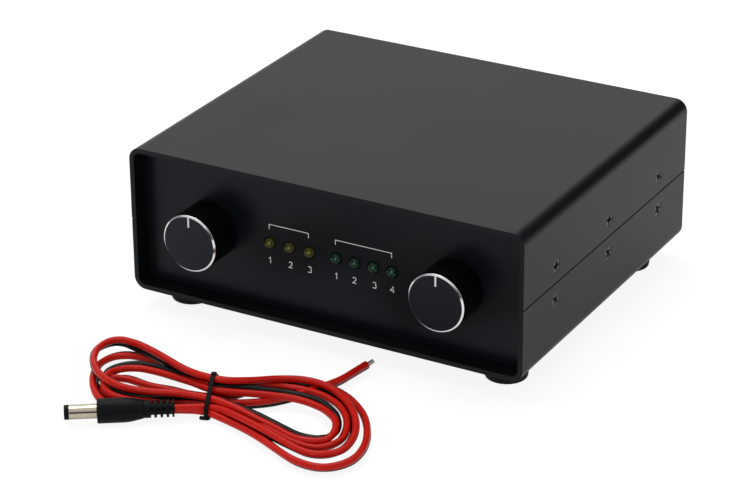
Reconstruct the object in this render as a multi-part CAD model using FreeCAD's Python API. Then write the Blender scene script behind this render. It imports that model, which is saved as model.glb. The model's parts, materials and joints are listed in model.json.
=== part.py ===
import FreeCAD, Part
# Coaxial antenna switch: three antennas by four transceivers in a two-part metal case,
# with its loose power lead beside it.
# Millimetres. +X is right seen from the front, +Y is back and +Z is up. The origin is on
# the table, under the middle of the case. One STEP file is written for each named piece.
import math
import os

from FreeCAD import Vector

# ---------------------------------------------------------------- case
case_width = 170.0
case_depth = 145.0
case_height = 60.0
case_corner_radius = 5.0
wall = 2.0
seam_above_base = 29.7
seam_bevel = 0.3

# feet
foot_height = 8.2
foot_top_diameter = 18.4
foot_bottom_diameter = 16.4
foot_pocket_diameter = 8.0
foot_pocket_depth = 3.2
foot_screw_length = 8.0
foot_inset_x = 15.3
foot_inset_y = 17.7

# panels
panel_thickness = 2.0
front_recess = 7.2
rear_recess = 7.2
panel_edge_gap = 0.2
stud_length = 6.0
stud_inset = 8.0

# side rails
rail_thickness = 2.0
rail_height = 26.0
rail_tab_width = 14.0
rail_bend_radius = 1.5

# metric screws, 3 mm
screw_diameter = 3.0
thread_clearance = 0.05
through_clearance = 0.2
countersunk_head_diameter = 5.5
countersink_clearance = 0.1
pan_head_diameter = 5.5
pan_head_height = 1.8
nut_across_flats = 5.5
nut_thickness = 2.4
side_screw_length = 6.0
side_screw_pitch = 46.0
side_screw_offset = 0.7
side_screw_from_seam = 7.1

# ---------------------------------------------------------------- selectors
control_height = 29.2
selector_inset = 31.7
knob_diameter = 23.3
knob_length = 14.7
knob_face_bevel = 0.7
knob_panel_gap = 0.9
knob_skirt_diameter = 17.0
knob_skirt_depth = 5.0
pointer_length = 4.6
pointer_width = 0.7
pointer_depth = 0.25
pointer_rim_gap = 0.9
knob_screw_length = 5.0
knob_screw_depth = 2.5

shaft_diameter = 6.0
shaft_flat_depth = 0.8
shaft_clearance = 0.05
shaft_in_knob = 6.0
bushing_diameter = 9.0
bushing_panel_clearance = 0.15
bushing_overhang = 0.9
panel_nut_across_flats = 12.0
panel_nut_thickness = 2.0

switch_can_size = 26.0
switch_can_wall = 2.0
switch_front_wall = 2.5
switch_can_depth = 9.0
star_tip_diameter = 18.0
star_root_diameter = 15.6
star_thickness = 3.0
star_front_gap = 1.2
index_steps = 12
post_width = 2.4
post_length = 2.2
wafer_across_flats = 28.0
wafer_hole_diameter = 16.6
wafer_thickness = 1.6
lug_width = 1.6
lug_thickness = 0.5
lug_reach = 3.5
lug_overlap = 3.0
rotor_diameter = 16.0
rotor_thickness = 1.6
rotor_gap = 0.3
drive_flat_lead = 1.0
wiper_width = 3.0
wiper_reach = 12.0
wiper_thickness = 0.5
wiper_inset = 0.5
shaft_tail = 3.0

# ---------------------------------------------------------------- lamps
lamp_diameter = 5.0
lamp_length = 8.6
lamp_nose_length = 1.4
lamp_tip_diameter = 2.6
lamp_stand_out = 2.0
lamp_hole_clearance = 0.1
antenna_count = 3
antenna_lamp_start = -26.7
antenna_lamp_pitch = 8.75
transceiver_count = 4
transceiver_lamp_start = 2.5
transceiver_lamp_pitch = 8.07
board_thickness = 1.6
lamp_board_edge = 4.3
lamp_board_height = 20.0
lamp_pillar_inset = 3.5
lamp_pillar_drop = 6.5
pillar_size = 6.0
pillar_neck_size = 2.8
pillar_neck_clearance = 0.1
pillar_neck_length = 2.8

# ---------------------------------------------------------------- main board
main_board_side_gap = 9.0
main_board_front_gap = 19.3
main_board_rear_gap = 16.3
board_pillar_height = 6.0
board_pillar_inset = 5.0
relay_width = 19.0
relay_depth = 15.4
relay_height = 15.0
relay_rear_margin = 15.0
relay_row_pitch = 24.0
regulator_width = 10.0
regulator_depth = 4.5
regulator_height = 15.0
regulator_tab_height = 6.0
regulator_tab_thickness = 1.3
capacitor_diameter = 8.0
capacitor_height = 12.0
capacitor_spacing = 14.0
capacitor_row_pitch = 22.0
ribbon_thickness = 1.0
lamp_ribbon_width = 20.0
switch_ribbon_width = 12.0
ribbon_run = 5.0

# ---------------------------------------------------------------- rear sockets
socket_columns = 4
socket_inset = 31.0
socket_row_pitch = 27.5
socket_thread_diameter = 15.88
socket_stand_out = 14.7
socket_bore_diameter = 12.4
socket_flange_across_flats = 20.0
socket_flange_thickness = 2.5
socket_rear_diameter = 15.0
socket_rear_overhang = 1.0
socket_panel_clearance = 0.15
socket_nut_across_flats = 19.0
socket_nut_thickness = 2.6
insulator_clearance = 0.05
insulator_recess = 4.5
contact_diameter = 5.6
contact_bore_diameter = 4.0
contact_bore_depth = 12.0
contact_tail_length = 5.0
rear_wire_size = 1.2
rear_wire_inset = 1.8
rear_wire_sidestep = 6.0

# power jack, 5.5 mm by 2.1 mm
jack_flange_diameter = 14.0
jack_flange_thickness = 2.0
jack_body_diameter = 11.0
jack_body_length = 13.0
jack_bore_diameter = 5.6
jack_bore_depth = 10.0
jack_pin_diameter = 2.1
jack_pin_recess = 1.0
jack_pin_tail = 4.0
jack_nut_across_flats = 14.0
jack_nut_thickness = 2.5

# ---------------------------------------------------------------- power lead
wire_diameter = 2.7
hank_height = 12.6
hank_left = (-55.7, -128.7)
hank_left_radius = 17.5
hank_right = (30.3, -130.7)
hank_right_radius = 23.0
tie_x = -12.7
tie_y = -131.7
waist_half_width = 7.5
tie_width = 2.2
tie_thickness = 0.9
tie_stand_out = 0.4
plug_end = (-20.7, -143.7, 4.8)
plug_heading = (-0.832, -0.555)
plug_body_diameter = 9.2
plug_body_length = 17.0
plug_taper_share = 0.33
relief_length = 11.0
relief_diameter = 6.6
barrel_diameter = 5.5
barrel_bore_diameter = 4.2
barrel_length = 10.2
tip_length = 1.8
tip_bore_diameter = 2.1
plug_stub_length = 6.4
plug_stub_diameter = 4.6
tail_points = ((16.2, -109.6), (20.2, -96.7), (23.1, -75.2))
tail_stub_length = 10.0
wire_end_length = 4.0
wire_end_diameter = 1.2
bend_share = 0.45  # of the shorter run, taken up by the arc at a bend of the lead

# ---------------------------------------------------------------- worked-out places
base_z = foot_height
top_z = base_z + case_height
seam_z = base_z + seam_above_base
control_z = base_z + control_height
front_y = -case_depth / 2
rear_y = case_depth / 2
panel_front_y = front_y + front_recess
panel_back_y = panel_front_y + panel_thickness
rear_panel_out_y = rear_y - rear_recess
rear_panel_in_y = rear_panel_out_y - panel_thickness
inner_half_width = case_width / 2 - wall
selector_reach = case_width / 2 - selector_inset
selector_x = {"antenna": -selector_reach, "transceiver": selector_reach}
knob_rear_y = panel_front_y - knob_panel_gap
knob_face_y = knob_rear_y - knob_length
shaft_front_y = knob_rear_y - knob_skirt_depth - shaft_in_knob
can_rear_y = panel_back_y + switch_can_depth
wafer_front_y = can_rear_y + post_length
wafer_rear_y = wafer_front_y + wafer_thickness
shaft_rear_y = wafer_rear_y + shaft_tail
lamp_base_y = panel_front_y - lamp_stand_out + lamp_length
lamp_board_back_y = lamp_base_y + board_thickness
board_z = base_z + wall + board_pillar_height
board_top_z = board_z + board_thickness
socket_mid_z = base_z + case_height / 2
lower_row_z = socket_mid_z - socket_row_pitch / 2
upper_row_z = socket_mid_z + socket_row_pitch / 2
column_pitch = (case_width - 2 * socket_inset) / (socket_columns - 1)
column_x = [socket_inset - case_width / 2 + k * column_pitch for k in range(socket_columns)]
main_board_half_width = inner_half_width - main_board_side_gap
main_board_front = panel_back_y + main_board_front_gap
main_board_rear = rear_panel_in_y - main_board_rear_gap
transceiver_relay_y = main_board_rear - relay_rear_margin
antenna_relay_y = transceiver_relay_y - relay_row_pitch
capacitor_y = antenna_relay_y - capacitor_row_pitch
socket_face_y = rear_panel_out_y + socket_stand_out
socket_rear_y = rear_panel_in_y - socket_nut_thickness - socket_rear_overhang
insulator_face_y = socket_face_y - insulator_recess
contact_tail_y = socket_rear_y - contact_tail_length
rear_wire_y = main_board_rear - rear_wire_inset
jack_place = (column_x[-1], lower_row_z)
jack_rear_y = rear_panel_out_y - jack_body_length
jack_tail_y = jack_rear_y - jack_pin_tail
side_screw_ys = [side_screw_offset + k * side_screw_pitch for k in (-1, 0, 1)]
foot_x = case_width / 2 - foot_inset_x
foot_y = case_depth / 2 - foot_inset_y
tap_radius = screw_diameter / 2 + thread_clearance
through_radius = screw_diameter / 2 + through_clearance
pair_radius = wire_diameter  # two wires side by side fill a circle of twice their diameter

X = Vector(1, 0, 0)
Y = Vector(0, 1, 0)
Z = Vector(0, 0, 1)


# ---------------------------------------------------------------- shape helpers
def cylinder(diameter, length, start, direction):
    """A round bar of this diameter and length from start along direction."""
    return Part.makeCylinder(diameter / 2, length, Vector(*start), direction)


def cone(start_diameter, end_diameter, length, start, direction):
    """A frustum along direction."""
    return Part.makeCone(start_diameter / 2, end_diameter / 2, length, Vector(*start), direction)


def block(x0, x1, y0, y1, z0, z1):
    """A box between two corners."""
    return Part.makeBox(x1 - x0, y1 - y0, z1 - z0, Vector(x0, y0, z0))


def prism(points, push):
    """A flat polygon pushed along a vector."""
    wire = Part.makePolygon([Vector(*p) for p in points] + [Vector(*points[0])])
    return Part.Face(wire).extrude(push)


def hexagon(across_flats, length, start, direction=Y):
    """A hexagonal bar along Y or Z."""
    radius = across_flats / math.sqrt(3)
    turns = [math.radians(60 * k + 30) for k in range(6)]
    x, y, z = start
    if direction == Y:
        points = [(x + radius * math.cos(t), y, z + radius * math.sin(t)) for t in turns]
    else:
        points = [(x + radius * math.cos(t), y + radius * math.sin(t), z) for t in turns]
    return prism(points, direction * length)


def turned(profile, x, z):
    """A profile of (radius, y) points turned about the line along Y through x, z."""
    points = [Vector(x + r, y, z) for r, y in profile]
    face = Part.Face(Part.makePolygon(points + [points[0]]))
    return face.revolve(Vector(x, 0, z), Y, 360)


def edges_where(shape, test):
    """The shape's straight edges whose two ends both pass the test."""
    return [e for e in shape.Edges
            if len(e.Vertexes) == 2 and all(test(v.Point) for v in e.Vertexes)]


def near(a, b):
    """Whether two lengths are the same size."""
    return abs(a - b) < 1e-4


def countersunk_screw(face, direction, length):
    """A countersunk screw whose flat head lies at face and whose shank runs along direction."""
    head_depth = (countersunk_head_diameter - screw_diameter) / 2
    head = cone(countersunk_head_diameter, screw_diameter, head_depth, face, direction)
    shank = cylinder(screw_diameter, length, face, direction)
    return head.fuse(shank).removeSplitter()


def pan_screw(seat, direction, length):
    """A pan-head screw whose head bears on seat and whose shank runs along direction."""
    top = Vector(*seat) - direction * pan_head_height
    head = cylinder(pan_head_diameter, pan_head_height, top, direction)
    shank = cylinder(screw_diameter, length, seat, direction)
    return head.fuse(shank).removeSplitter()


def square_wire(points, size):
    """A square bar along points whose runs lie along X, Y or Z, cut square at both ends."""
    runs = []
    for a, b in zip(points, points[1:]):
        low = [min(p, q) - (size / 2 if near(p, q) else 0) for p, q in zip(a, b)]
        high = [max(p, q) + (size / 2 if near(p, q) else 0) for p, q in zip(a, b)]
        runs.append(block(low[0], high[0], low[1], high[1], low[2], high[2]))
    for x, y, z in points[1:-1]:
        half = size / 2
        runs.append(block(x - half, x + half, y - half, y + half, z - half, z + half))
    return runs[0].fuse(runs[1:]).removeSplitter()


def bent_path(points):
    """Straight runs joined by tangent arcs, each as large as its two runs allow."""
    corners = [Vector(*p) for p in points]
    edges = []
    at = corners[0]
    for before, corner, after in zip(corners, corners[1:], corners[2:]):
        back = (before - corner).normalize()
        ahead = (after - corner).normalize()
        half_turn = (math.pi - back.getAngle(ahead)) / 2
        shorter = min((before - corner).Length, (after - corner).Length)
        radius = bend_share * shorter / math.tan(half_turn)
        print(f"bend radius {radius:.1f}")
        reach = radius * math.tan(half_turn)
        middle_way = (back + ahead).normalize() * (radius / math.cos(half_turn) - radius)
        start, end = corner + back * reach, corner + ahead * reach
        if (start - at).Length > 1e-3:
            edges.append(Part.LineSegment(at, start).toShape())
        edges.append(Part.Arc(start, corner + middle_way, end).toShape())
        at = end
    edges.append(Part.LineSegment(at, corners[-1]).toShape())
    return Part.Wire(edges)


def round_along(path, diameter):
    """A round section carried along a path."""
    first = path.OrderedEdges[0]
    start = first.valueAt(first.FirstParameter)
    heading = first.tangentAt(first.FirstParameter)
    ring = Part.Wire(Part.makeCircle(diameter / 2, start, heading))
    return path.makePipeShell([ring], True, True)


# ---------------------------------------------------------------- case pieces
def case_section(inset, y0, y1):
    """The case's rounded rectangle, taken in by inset, from y0 to y1."""
    half = case_width / 2 - inset
    bar = block(-half, half, y0, y1, base_z + inset, top_z - inset)
    radius = case_corner_radius - inset
    corners = edges_where(bar, lambda p: True)
    along = [e for e in corners if near(e.Vertexes[0].X, e.Vertexes[1].X)
             and near(e.Vertexes[0].Z, e.Vertexes[1].Z)]
    return bar.makeFillet(radius, along)


def side_screw_places(above):
    """Each side screw's (side, y, z) in the top cover, or in the bottom one."""
    z = seam_z + side_screw_from_seam * (1 if above else -1)
    return [(side, y, z) for side in (-1, 1) for y in side_screw_ys]


def cover(above):
    """One U-shaped shell, bevelled along the seam and countersunk for its side screws."""
    tube = case_section(0, front_y, rear_y).cut(case_section(wall, front_y, rear_y))
    z0, z1 = (seam_z, top_z) if above else (base_z, seam_z)
    half = case_width / 2
    shell = tube.common(block(-half, half, front_y, rear_y, z0, z1))
    seam_edges = edges_where(shell, lambda p: near(p.z, seam_z) and near(abs(p.x), half))
    shell = shell.makeChamfer(seam_bevel, seam_edges)
    head = countersunk_head_diameter + 2 * countersink_clearance
    hole = 2 * through_radius
    for side, y, z in side_screw_places(above):
        face = (side * half, y, z)
        inwards = X * -side
        shell = shell.cut(cone(head, hole, (head - hole) / 2, face, inwards))
        shell = shell.cut(cylinder(hole, wall, face, inwards))
    return shell


def bottom_cover():
    """The lower shell, with a tapped hole over each foot."""
    shell = cover(False)
    for x, y in foot_places():
        shell = shell.cut(cylinder(2 * tap_radius, wall, (x, y, base_z), Z))
    return shell


def foot_places():
    """The four feet's centres in plan."""
    return [(sx * foot_x, sy * foot_y) for sx in (-1, 1) for sy in (-1, 1)]


def foot(x, y):
    """A tapered rubber foot with a pocket for its screw's head."""
    pad = cone(foot_bottom_diameter, foot_top_diameter, foot_height, (x, y, 0), Z)
    pad = pad.cut(cylinder(foot_pocket_diameter, foot_pocket_depth, (x, y, 0), Z))
    return pad.cut(cylinder(2 * through_radius, foot_height, (x, y, 0), Z))


def foot_screws():
    """One pan-head screw up through each foot into the bottom cover."""
    return [pan_screw((x, y, foot_pocket_depth), Z, foot_screw_length) for x, y in foot_places()]


def panel_plate(y0):
    """A flat panel that fills the case's section, with an even gap round its edge."""
    return case_section(wall + panel_edge_gap, y0, y0 + panel_thickness)


def stud_places():
    """The panel studs' places across the case, one at each end of each panel."""
    x = inner_half_width - stud_inset
    return [(side * x, seam_z) for side in (-1, 1)]


def front_panel():
    """The front panel: holes for two bushings and seven lamps, and two blind studs behind."""
    plate = panel_plate(panel_front_y)
    hole = bushing_diameter + 2 * bushing_panel_clearance
    for x in selector_x.values():
        plate = plate.cut(cylinder(hole, panel_thickness, (x, panel_front_y, control_z), Y))
    hole = lamp_diameter + 2 * lamp_hole_clearance
    for x in lamp_places("antenna") + lamp_places("transceiver"):
        plate = plate.cut(cylinder(hole, panel_thickness, (x, panel_front_y, control_z), Y))
    studs = [cylinder(screw_diameter, stud_length, (x, panel_back_y, z), Y)
             for x, z in stud_places()]
    return plate.fuse(studs).removeSplitter()


def rear_panel():
    """The rear panel: holes for seven sockets and the jack, and two blind studs in front."""
    plate = panel_plate(rear_panel_in_y)
    hole = socket_rear_diameter + 2 * socket_panel_clearance
    for x, z in socket_places():
        plate = plate.cut(cylinder(hole, panel_thickness, (x, rear_panel_in_y, z), Y))
    hole = jack_body_diameter + 2 * socket_panel_clearance
    x, z = jack_place
    plate = plate.cut(cylinder(hole, panel_thickness, (x, rear_panel_in_y, z), Y))
    studs = [cylinder(screw_diameter, stud_length, (x, rear_panel_in_y, z), Y * -1)
             for x, z in stud_places()]
    return plate.fuse(studs).removeSplitter()


def side_rail(side):
    """A bent strip on one side wall, with a tab behind each panel and six tapped holes."""
    outer = inner_half_width
    inner = outer - rail_thickness
    tab = outer - rail_tab_width
    y0, y1 = panel_back_y, rear_panel_in_y
    z0 = seam_z - rail_height / 2
    strip = block(tab, outer, y0, y1, z0, z0 + rail_height)
    corners = [e for e in edges_where(strip, lambda p: near(p.x, outer))
               if near(e.Vertexes[0].Y, e.Vertexes[1].Y)]
    strip = strip.makeFillet(rail_bend_radius, corners)
    hollow = block(0, inner, y0 + rail_thickness, y1 - rail_thickness, z0, z0 + rail_height)
    strip = strip.cut(hollow)
    for y in side_screw_ys:
        for step in (-side_screw_from_seam, side_screw_from_seam):
            hole = cylinder(2 * tap_radius, rail_thickness, (inner, y, seam_z + step), X)
            strip = strip.cut(hole)
    x, z = stud_places()[1]
    for y in (y0, y1 - rail_thickness):
        strip = strip.cut(cylinder(2 * through_radius, rail_thickness, (x, y, z), Y))
    return strip if side > 0 else strip.mirror(Vector(0, 0, 0), X)


def side_screws():
    """Twelve countersunk screws through the covers into the rails."""
    places = side_screw_places(True) + side_screw_places(False)
    return [countersunk_screw((side * case_width / 2, y, z), X * -side, side_screw_length)
            for side, y, z in places]


def panel_nuts():
    """A nut on each of the four panel studs, against the rails' tabs."""
    nuts = []
    for y in (panel_back_y + rail_thickness, rear_panel_in_y - rail_thickness - nut_thickness):
        for x, z in stud_places():
            nut = hexagon(nut_across_flats, nut_thickness, (x, y, z))
            nuts.append(nut.cut(cylinder(2 * tap_radius, nut_thickness, (x, y, z), Y)))
    return nuts


# ---------------------------------------------------------------- selector pieces
def knob(x):
    """A turned knob: bevelled face, pointer groove, rear skirt over the nut, shaft hole."""
    r = knob_diameter / 2
    y0, y1 = knob_face_y, knob_rear_y
    skirt_y = knob_rear_y - knob_skirt_depth
    bore = shaft_diameter / 2 + shaft_clearance
    body = turned([
        (0, y0), (r - knob_face_bevel, y0), (r, y0 + knob_face_bevel),
        (r, y1), (knob_skirt_diameter / 2, y1), (knob_skirt_diameter / 2, skirt_y),
        (bore, skirt_y), (bore, shaft_front_y), (0, shaft_front_y)], x, control_z)
    top = control_z + r - pointer_rim_gap
    groove = block(x - pointer_width / 2, x + pointer_width / 2,
                   y0, y0 + pointer_depth, top - pointer_length, top)
    hole_y = skirt_y - knob_screw_depth
    hole = cylinder(screw_diameter + 2 * thread_clearance, r, (x, hole_y, control_z), Z * -1)
    return body.cut(groove).cut(hole)


def knob_screw(x):
    """The grub screw that clamps the knob on the shaft's flat."""
    y = knob_rear_y - knob_skirt_depth - knob_screw_depth
    z = control_z - shaft_diameter / 2 + shaft_flat_depth
    return cylinder(screw_diameter, knob_screw_length, (x, y, z), Z * -1)


def switch_body(x):
    """The index housing: a square can, its bushing in front and two posts behind."""
    half = switch_can_size / 2
    inner = half - switch_can_wall
    floor_y = panel_back_y + switch_front_wall
    bush_front_y = panel_front_y - panel_nut_thickness - bushing_overhang
    can = block(x - half, x + half, panel_back_y, can_rear_y, control_z - half, control_z + half)
    can = can.cut(cylinder(2 * inner, can_rear_y - floor_y, (x, floor_y, control_z), Y))
    bushing = cylinder(bushing_diameter, panel_back_y - bush_front_y, (x, bush_front_y, control_z), Y)
    posts = [block(x + min(side * inner, side * half), x + max(side * inner, side * half),
                   can_rear_y, wafer_front_y, control_z - post_width / 2, control_z + post_width / 2)
             for side in (-1, 1)]
    bore = cylinder(shaft_diameter + 2 * shaft_clearance, floor_y - bush_front_y,
                    (x, bush_front_y, control_z), Y)
    return can.fuse([bushing] + posts).cut(bore).removeSplitter()


def switch_nut(x):
    """The hexagonal nut on the bushing, hidden under the knob's skirt."""
    y = panel_front_y - panel_nut_thickness
    nut = hexagon(panel_nut_across_flats, panel_nut_thickness, (x, y, control_z))
    hole = bushing_diameter + 2 * thread_clearance
    return nut.cut(cylinder(hole, panel_nut_thickness, (x, y, control_z), Y))


def star_outline(x, y):
    """The index wheel's outline: round-bottomed notches between pointed teeth."""
    tip = star_tip_diameter / 2
    root = star_root_diameter / 2
    step = 2 * math.pi / index_steps
    edges = []

    def on(radius, turn):
        return Vector(x + radius * math.sin(turn), y, control_z + radius * math.cos(turn))

    for k in range(index_steps):
        middle = k * step
        edges.append(Part.Arc(on(tip, middle - step / 2), on(root, middle),
                              on(tip, middle + step / 2)).toShape())
    return Part.Face(Part.Wire(edges))


def switch_shaft(x):
    """The shaft with its flat, and the star wheel staked on it inside the can."""
    length = shaft_rear_y - shaft_front_y
    bar = cylinder(shaft_diameter, length, (x, shaft_front_y, control_z), Y)
    low = control_z - shaft_diameter / 2
    flat = block(x - shaft_diameter, x + shaft_diameter, shaft_front_y,
                 knob_rear_y - knob_skirt_depth, low, low + shaft_flat_depth)
    drive = block(x - shaft_diameter, x + shaft_diameter, wafer_front_y - drive_flat_lead,
                  shaft_rear_y, low, low + shaft_flat_depth)
    star_y = panel_back_y + switch_front_wall + star_front_gap
    star = star_outline(x, star_y).extrude(Y * star_thickness)
    return bar.cut(flat).cut(drive).fuse(star).removeSplitter()


def switch_wafer(x):
    """The fixed wafer: a twelve-sided ring on the posts, with a lug on each side of it."""
    apothem = wafer_across_flats / 2
    corner = apothem / math.cos(math.pi / index_steps)
    turns = [2 * math.pi * k / index_steps for k in range(index_steps)]
    points = [(x + corner * math.sin(t), wafer_front_y, control_z + corner * math.cos(t)) for t in turns]
    hole = cylinder(wafer_hole_diameter, wafer_thickness, (x, wafer_front_y, control_z), Y)
    ring = prism(points, Y * wafer_thickness).cut(hole)
    lugs = []
    for k in range(index_steps):
        lug = block(-lug_width / 2, lug_width / 2, -lug_thickness, 0,
                    apothem - lug_overlap, apothem + lug_reach)
        turn = FreeCAD.Rotation(Y, 360.0 / index_steps * (k + 0.5))
        lug.Placement = FreeCAD.Placement(Vector(x, wafer_front_y, control_z), turn)
        lugs.append(lug)
    return [ring] + lugs


def switch_rotor(x):
    """The rotor on the shaft's flat inside the wafer, and the wiper that reaches over it."""
    bore_diameter = shaft_diameter + 2 * shaft_clearance
    flat_z = control_z - shaft_diameter / 2 + shaft_flat_depth - shaft_clearance
    disc = cylinder(rotor_diameter, rotor_thickness, (x, wafer_front_y, control_z), Y)
    bore = cylinder(bore_diameter, rotor_thickness, (x, wafer_front_y, control_z), Y)
    key = block(x - bore_diameter, x + bore_diameter, wafer_front_y, wafer_front_y + rotor_thickness,
                control_z - bore_diameter, flat_z)
    disc = disc.cut(bore.cut(key))
    half = wiper_width / 2
    inner_z = control_z + shaft_diameter / 2 + wiper_inset
    rotor_rear_y = wafer_front_y + rotor_thickness
    blade_y = rotor_rear_y + rotor_gap
    hub = block(x - half, x + half, rotor_rear_y, blade_y, inner_z, control_z + rotor_diameter / 2)
    blade = block(x - half, x + half, blade_y, blade_y + wiper_thickness,
                  inner_z, control_z + wiper_reach)
    return [disc, hub.fuse(blade).removeSplitter()]


# ---------------------------------------------------------------- lamps and their board
def lamp_places(kind):
    """The lamps' places along X."""
    if kind == "antenna":
        return [antenna_lamp_start + k * antenna_lamp_pitch for k in range(antenna_count)]
    return [transceiver_lamp_start + k * transceiver_lamp_pitch for k in range(transceiver_count)]


def lamp(x):
    """A blunt-nosed lamp seated on its board."""
    tip_y = lamp_base_y - lamp_length
    nose = cone(lamp_tip_diameter, lamp_diameter, lamp_nose_length, (x, tip_y, control_z), Y)
    shoulder_y = tip_y + lamp_nose_length
    body = cylinder(lamp_diameter, lamp_base_y - shoulder_y, (x, shoulder_y, control_z), Y)
    return nose.fuse(body).removeSplitter()


def square_bar(size, length, base, direction):
    """A square bar along Y or Z from the middle of its end at base."""
    x, y, z = base
    half = size / 2
    if direction == Y:
        return block(x - half, x + half, y, y + length, z - half, z + half)
    return block(x - half, x + half, y - half, y + half, z, z + length)


def pillar(length, base, direction):
    """A square pillar whose neck goes through the board that rests on it."""
    shoulder = Vector(*base) + direction * length
    neck = square_bar(pillar_neck_size, pillar_neck_length, shoulder, direction)
    return square_bar(pillar_size, length, base, direction).fuse(neck).removeSplitter()


def neck_hole(base, direction):
    """The cutter for a pillar's neck through a board."""
    return square_bar(pillar_neck_size + 2 * pillar_neck_clearance, board_thickness, base, direction)


def lamp_board_ends():
    """The lamp board's two ends along X, just beyond the outer lamps."""
    return (lamp_places("antenna")[0] - lamp_board_edge,
            lamp_places("transceiver")[-1] + lamp_board_edge)


def lamp_board():
    """The board behind the lamps."""
    left, right = lamp_board_ends()
    low = control_z - lamp_board_height / 2
    board = block(left, right, lamp_base_y, lamp_board_back_y, low, low + lamp_board_height)
    return board.cut([neck_hole((x, lamp_base_y, z), Y) for x, z in lamp_pillar_places()])


def lamp_pillar_places():
    """The two lamp-board pillars' places across the panel, below the outer lamps."""
    left, right = lamp_board_ends()
    z = control_z - lamp_pillar_drop
    return [(left + lamp_pillar_inset, z), (right - lamp_pillar_inset, z)]


def lamp_board_pillars():
    """Two pillars from the front panel to the lamp board."""
    length = lamp_base_y - panel_back_y
    return [pillar(length, (x, panel_back_y, z), Y) for x, z in lamp_pillar_places()]


# ---------------------------------------------------------------- main board
def board_pillar_places():
    """The four board pillars' centres in plan."""
    x = main_board_half_width - board_pillar_inset
    ys = (main_board_front + board_pillar_inset, main_board_rear - board_pillar_inset)
    return [(s * x, y) for s in (-1, 1) for y in ys]


def main_board():
    """The relay board."""
    half = main_board_half_width
    board = block(-half, half, main_board_front, main_board_rear, board_z, board_top_z)
    return board.cut([neck_hole((x, y, board_z), Z) for x, y in board_pillar_places()])


def board_pillars():
    """Four pillars from the bottom cover to the relay board."""
    start_z = base_z + wall
    return [pillar(board_pillar_height, (x, y, start_z), Z) for x, y in board_pillar_places()]


def relay(x, y):
    """A sealed relay on the board."""
    half_x, half_y = relay_width / 2, relay_depth / 2
    return block(x - half_x, x + half_x, y - half_y, y + half_y, board_top_z, board_top_z + relay_height)


def voltage_regulator():
    """An upright regulator over the power jack's column: moulded body and metal tab."""
    x0 = jack_place[0] - regulator_width / 2
    x1 = jack_place[0] + regulator_width / 2
    y0 = antenna_relay_y
    body_top = board_top_z + regulator_height
    body = block(x0, x1, y0, y0 + regulator_depth, board_top_z, body_top)
    tab_top = body_top + regulator_tab_height
    tab_y = y0 + regulator_depth - regulator_tab_thickness
    tab = block(x0, x1, tab_y, y0 + regulator_depth, body_top, tab_top)
    return body.fuse(tab).removeSplitter()


def capacitor(x):
    """An upright can capacitor."""
    return cylinder(capacitor_diameter, capacitor_height, (x, capacitor_y, board_top_z), Z)


def ribbon(x, width, start_y, start_z):
    """A flat cable that leaves a face at start_y, runs back and drops to the main board."""
    t = ribbon_thickness
    turn_y = main_board_front + ribbon_run
    points = [(0, start_y, start_z), (0, turn_y, start_z), (0, turn_y, board_top_z),
              (0, turn_y - t, board_top_z), (0, turn_y - t, start_z - t), (0, start_y, start_z - t)]
    strip = prism(points, X * width)
    outer = edges_where(strip, lambda p: near(p.y, turn_y) and near(p.z, start_z))
    strip = strip.makeFillet(2 * t, outer)
    strip.translate(Vector(x - width / 2, 0, 0))
    return strip


def selector_cables():
    """Ribbons from the lamp board and from both switch wafers to the main board."""
    low_on_wafer = control_z - (wafer_across_flats + wafer_hole_diameter) / 4
    strips = [ribbon(0, lamp_ribbon_width, lamp_board_back_y, control_z)]
    for x in selector_x.values():
        strips.append(ribbon(x, switch_ribbon_width, wafer_rear_y, low_on_wafer))
    return strips


# ---------------------------------------------------------------- rear sockets
def socket_places():
    """Antenna sockets in the lower row and transceiver sockets in the upper one."""
    lower = [(x, lower_row_z) for x in column_x[:antenna_count]]
    upper = [(x, upper_row_z) for x in column_x[:transceiver_count]]
    return lower + upper


def socket(x, z):
    """A coaxial socket's metal shell: hexagonal flange, plug thread outside, rear thread inside."""
    seat = (x, rear_panel_out_y, z)
    flange = hexagon(socket_flange_across_flats, socket_flange_thickness, seat)
    barrel = cylinder(socket_thread_diameter, socket_stand_out, seat, Y)
    rear = cylinder(socket_rear_diameter, rear_panel_out_y - socket_rear_y, (x, socket_rear_y, z), Y)
    bore = cylinder(socket_bore_diameter, socket_face_y - socket_rear_y, (x, socket_rear_y, z), Y)
    return flange.fuse([barrel, rear]).cut(bore).removeSplitter()


def socket_insulator(x, z):
    """The insulating bush between the shell and the contact."""
    length = insulator_face_y - socket_rear_y
    start = (x, socket_rear_y, z)
    bush = cylinder(socket_bore_diameter - 2 * insulator_clearance, length, start, Y)
    return bush.cut(cylinder(contact_diameter + 2 * insulator_clearance, length, start, Y))


def socket_contact(x, z):
    """The centre contact: a bar that stands out behind, bored for the plug's pin in front."""
    bar = cylinder(contact_diameter, insulator_face_y - contact_tail_y, (x, contact_tail_y, z), Y)
    mouth_y = insulator_face_y - contact_bore_depth
    return bar.cut(cylinder(contact_bore_diameter, contact_bore_depth, (x, mouth_y, z), Y))


def socket_nut(x, z):
    """The nut that clamps a socket from inside."""
    start = (x, rear_panel_in_y - socket_nut_thickness, z)
    nut = hexagon(socket_nut_across_flats, socket_nut_thickness, start)
    hole = socket_rear_diameter + 2 * thread_clearance
    return nut.cut(cylinder(hole, socket_nut_thickness, start, Y))


def rear_wire(x, start_y, z, sidestep):
    """A wire from a contact's tail forwards, aside if it must pass another, and down to the board."""
    points = [(x, start_y, z), (x, rear_wire_y, z)]
    if sidestep:
        points.append((x + sidestep, rear_wire_y, z))
    points.append((x + sidestep, rear_wire_y, board_top_z))
    return square_wire(points, rear_wire_size)


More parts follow.
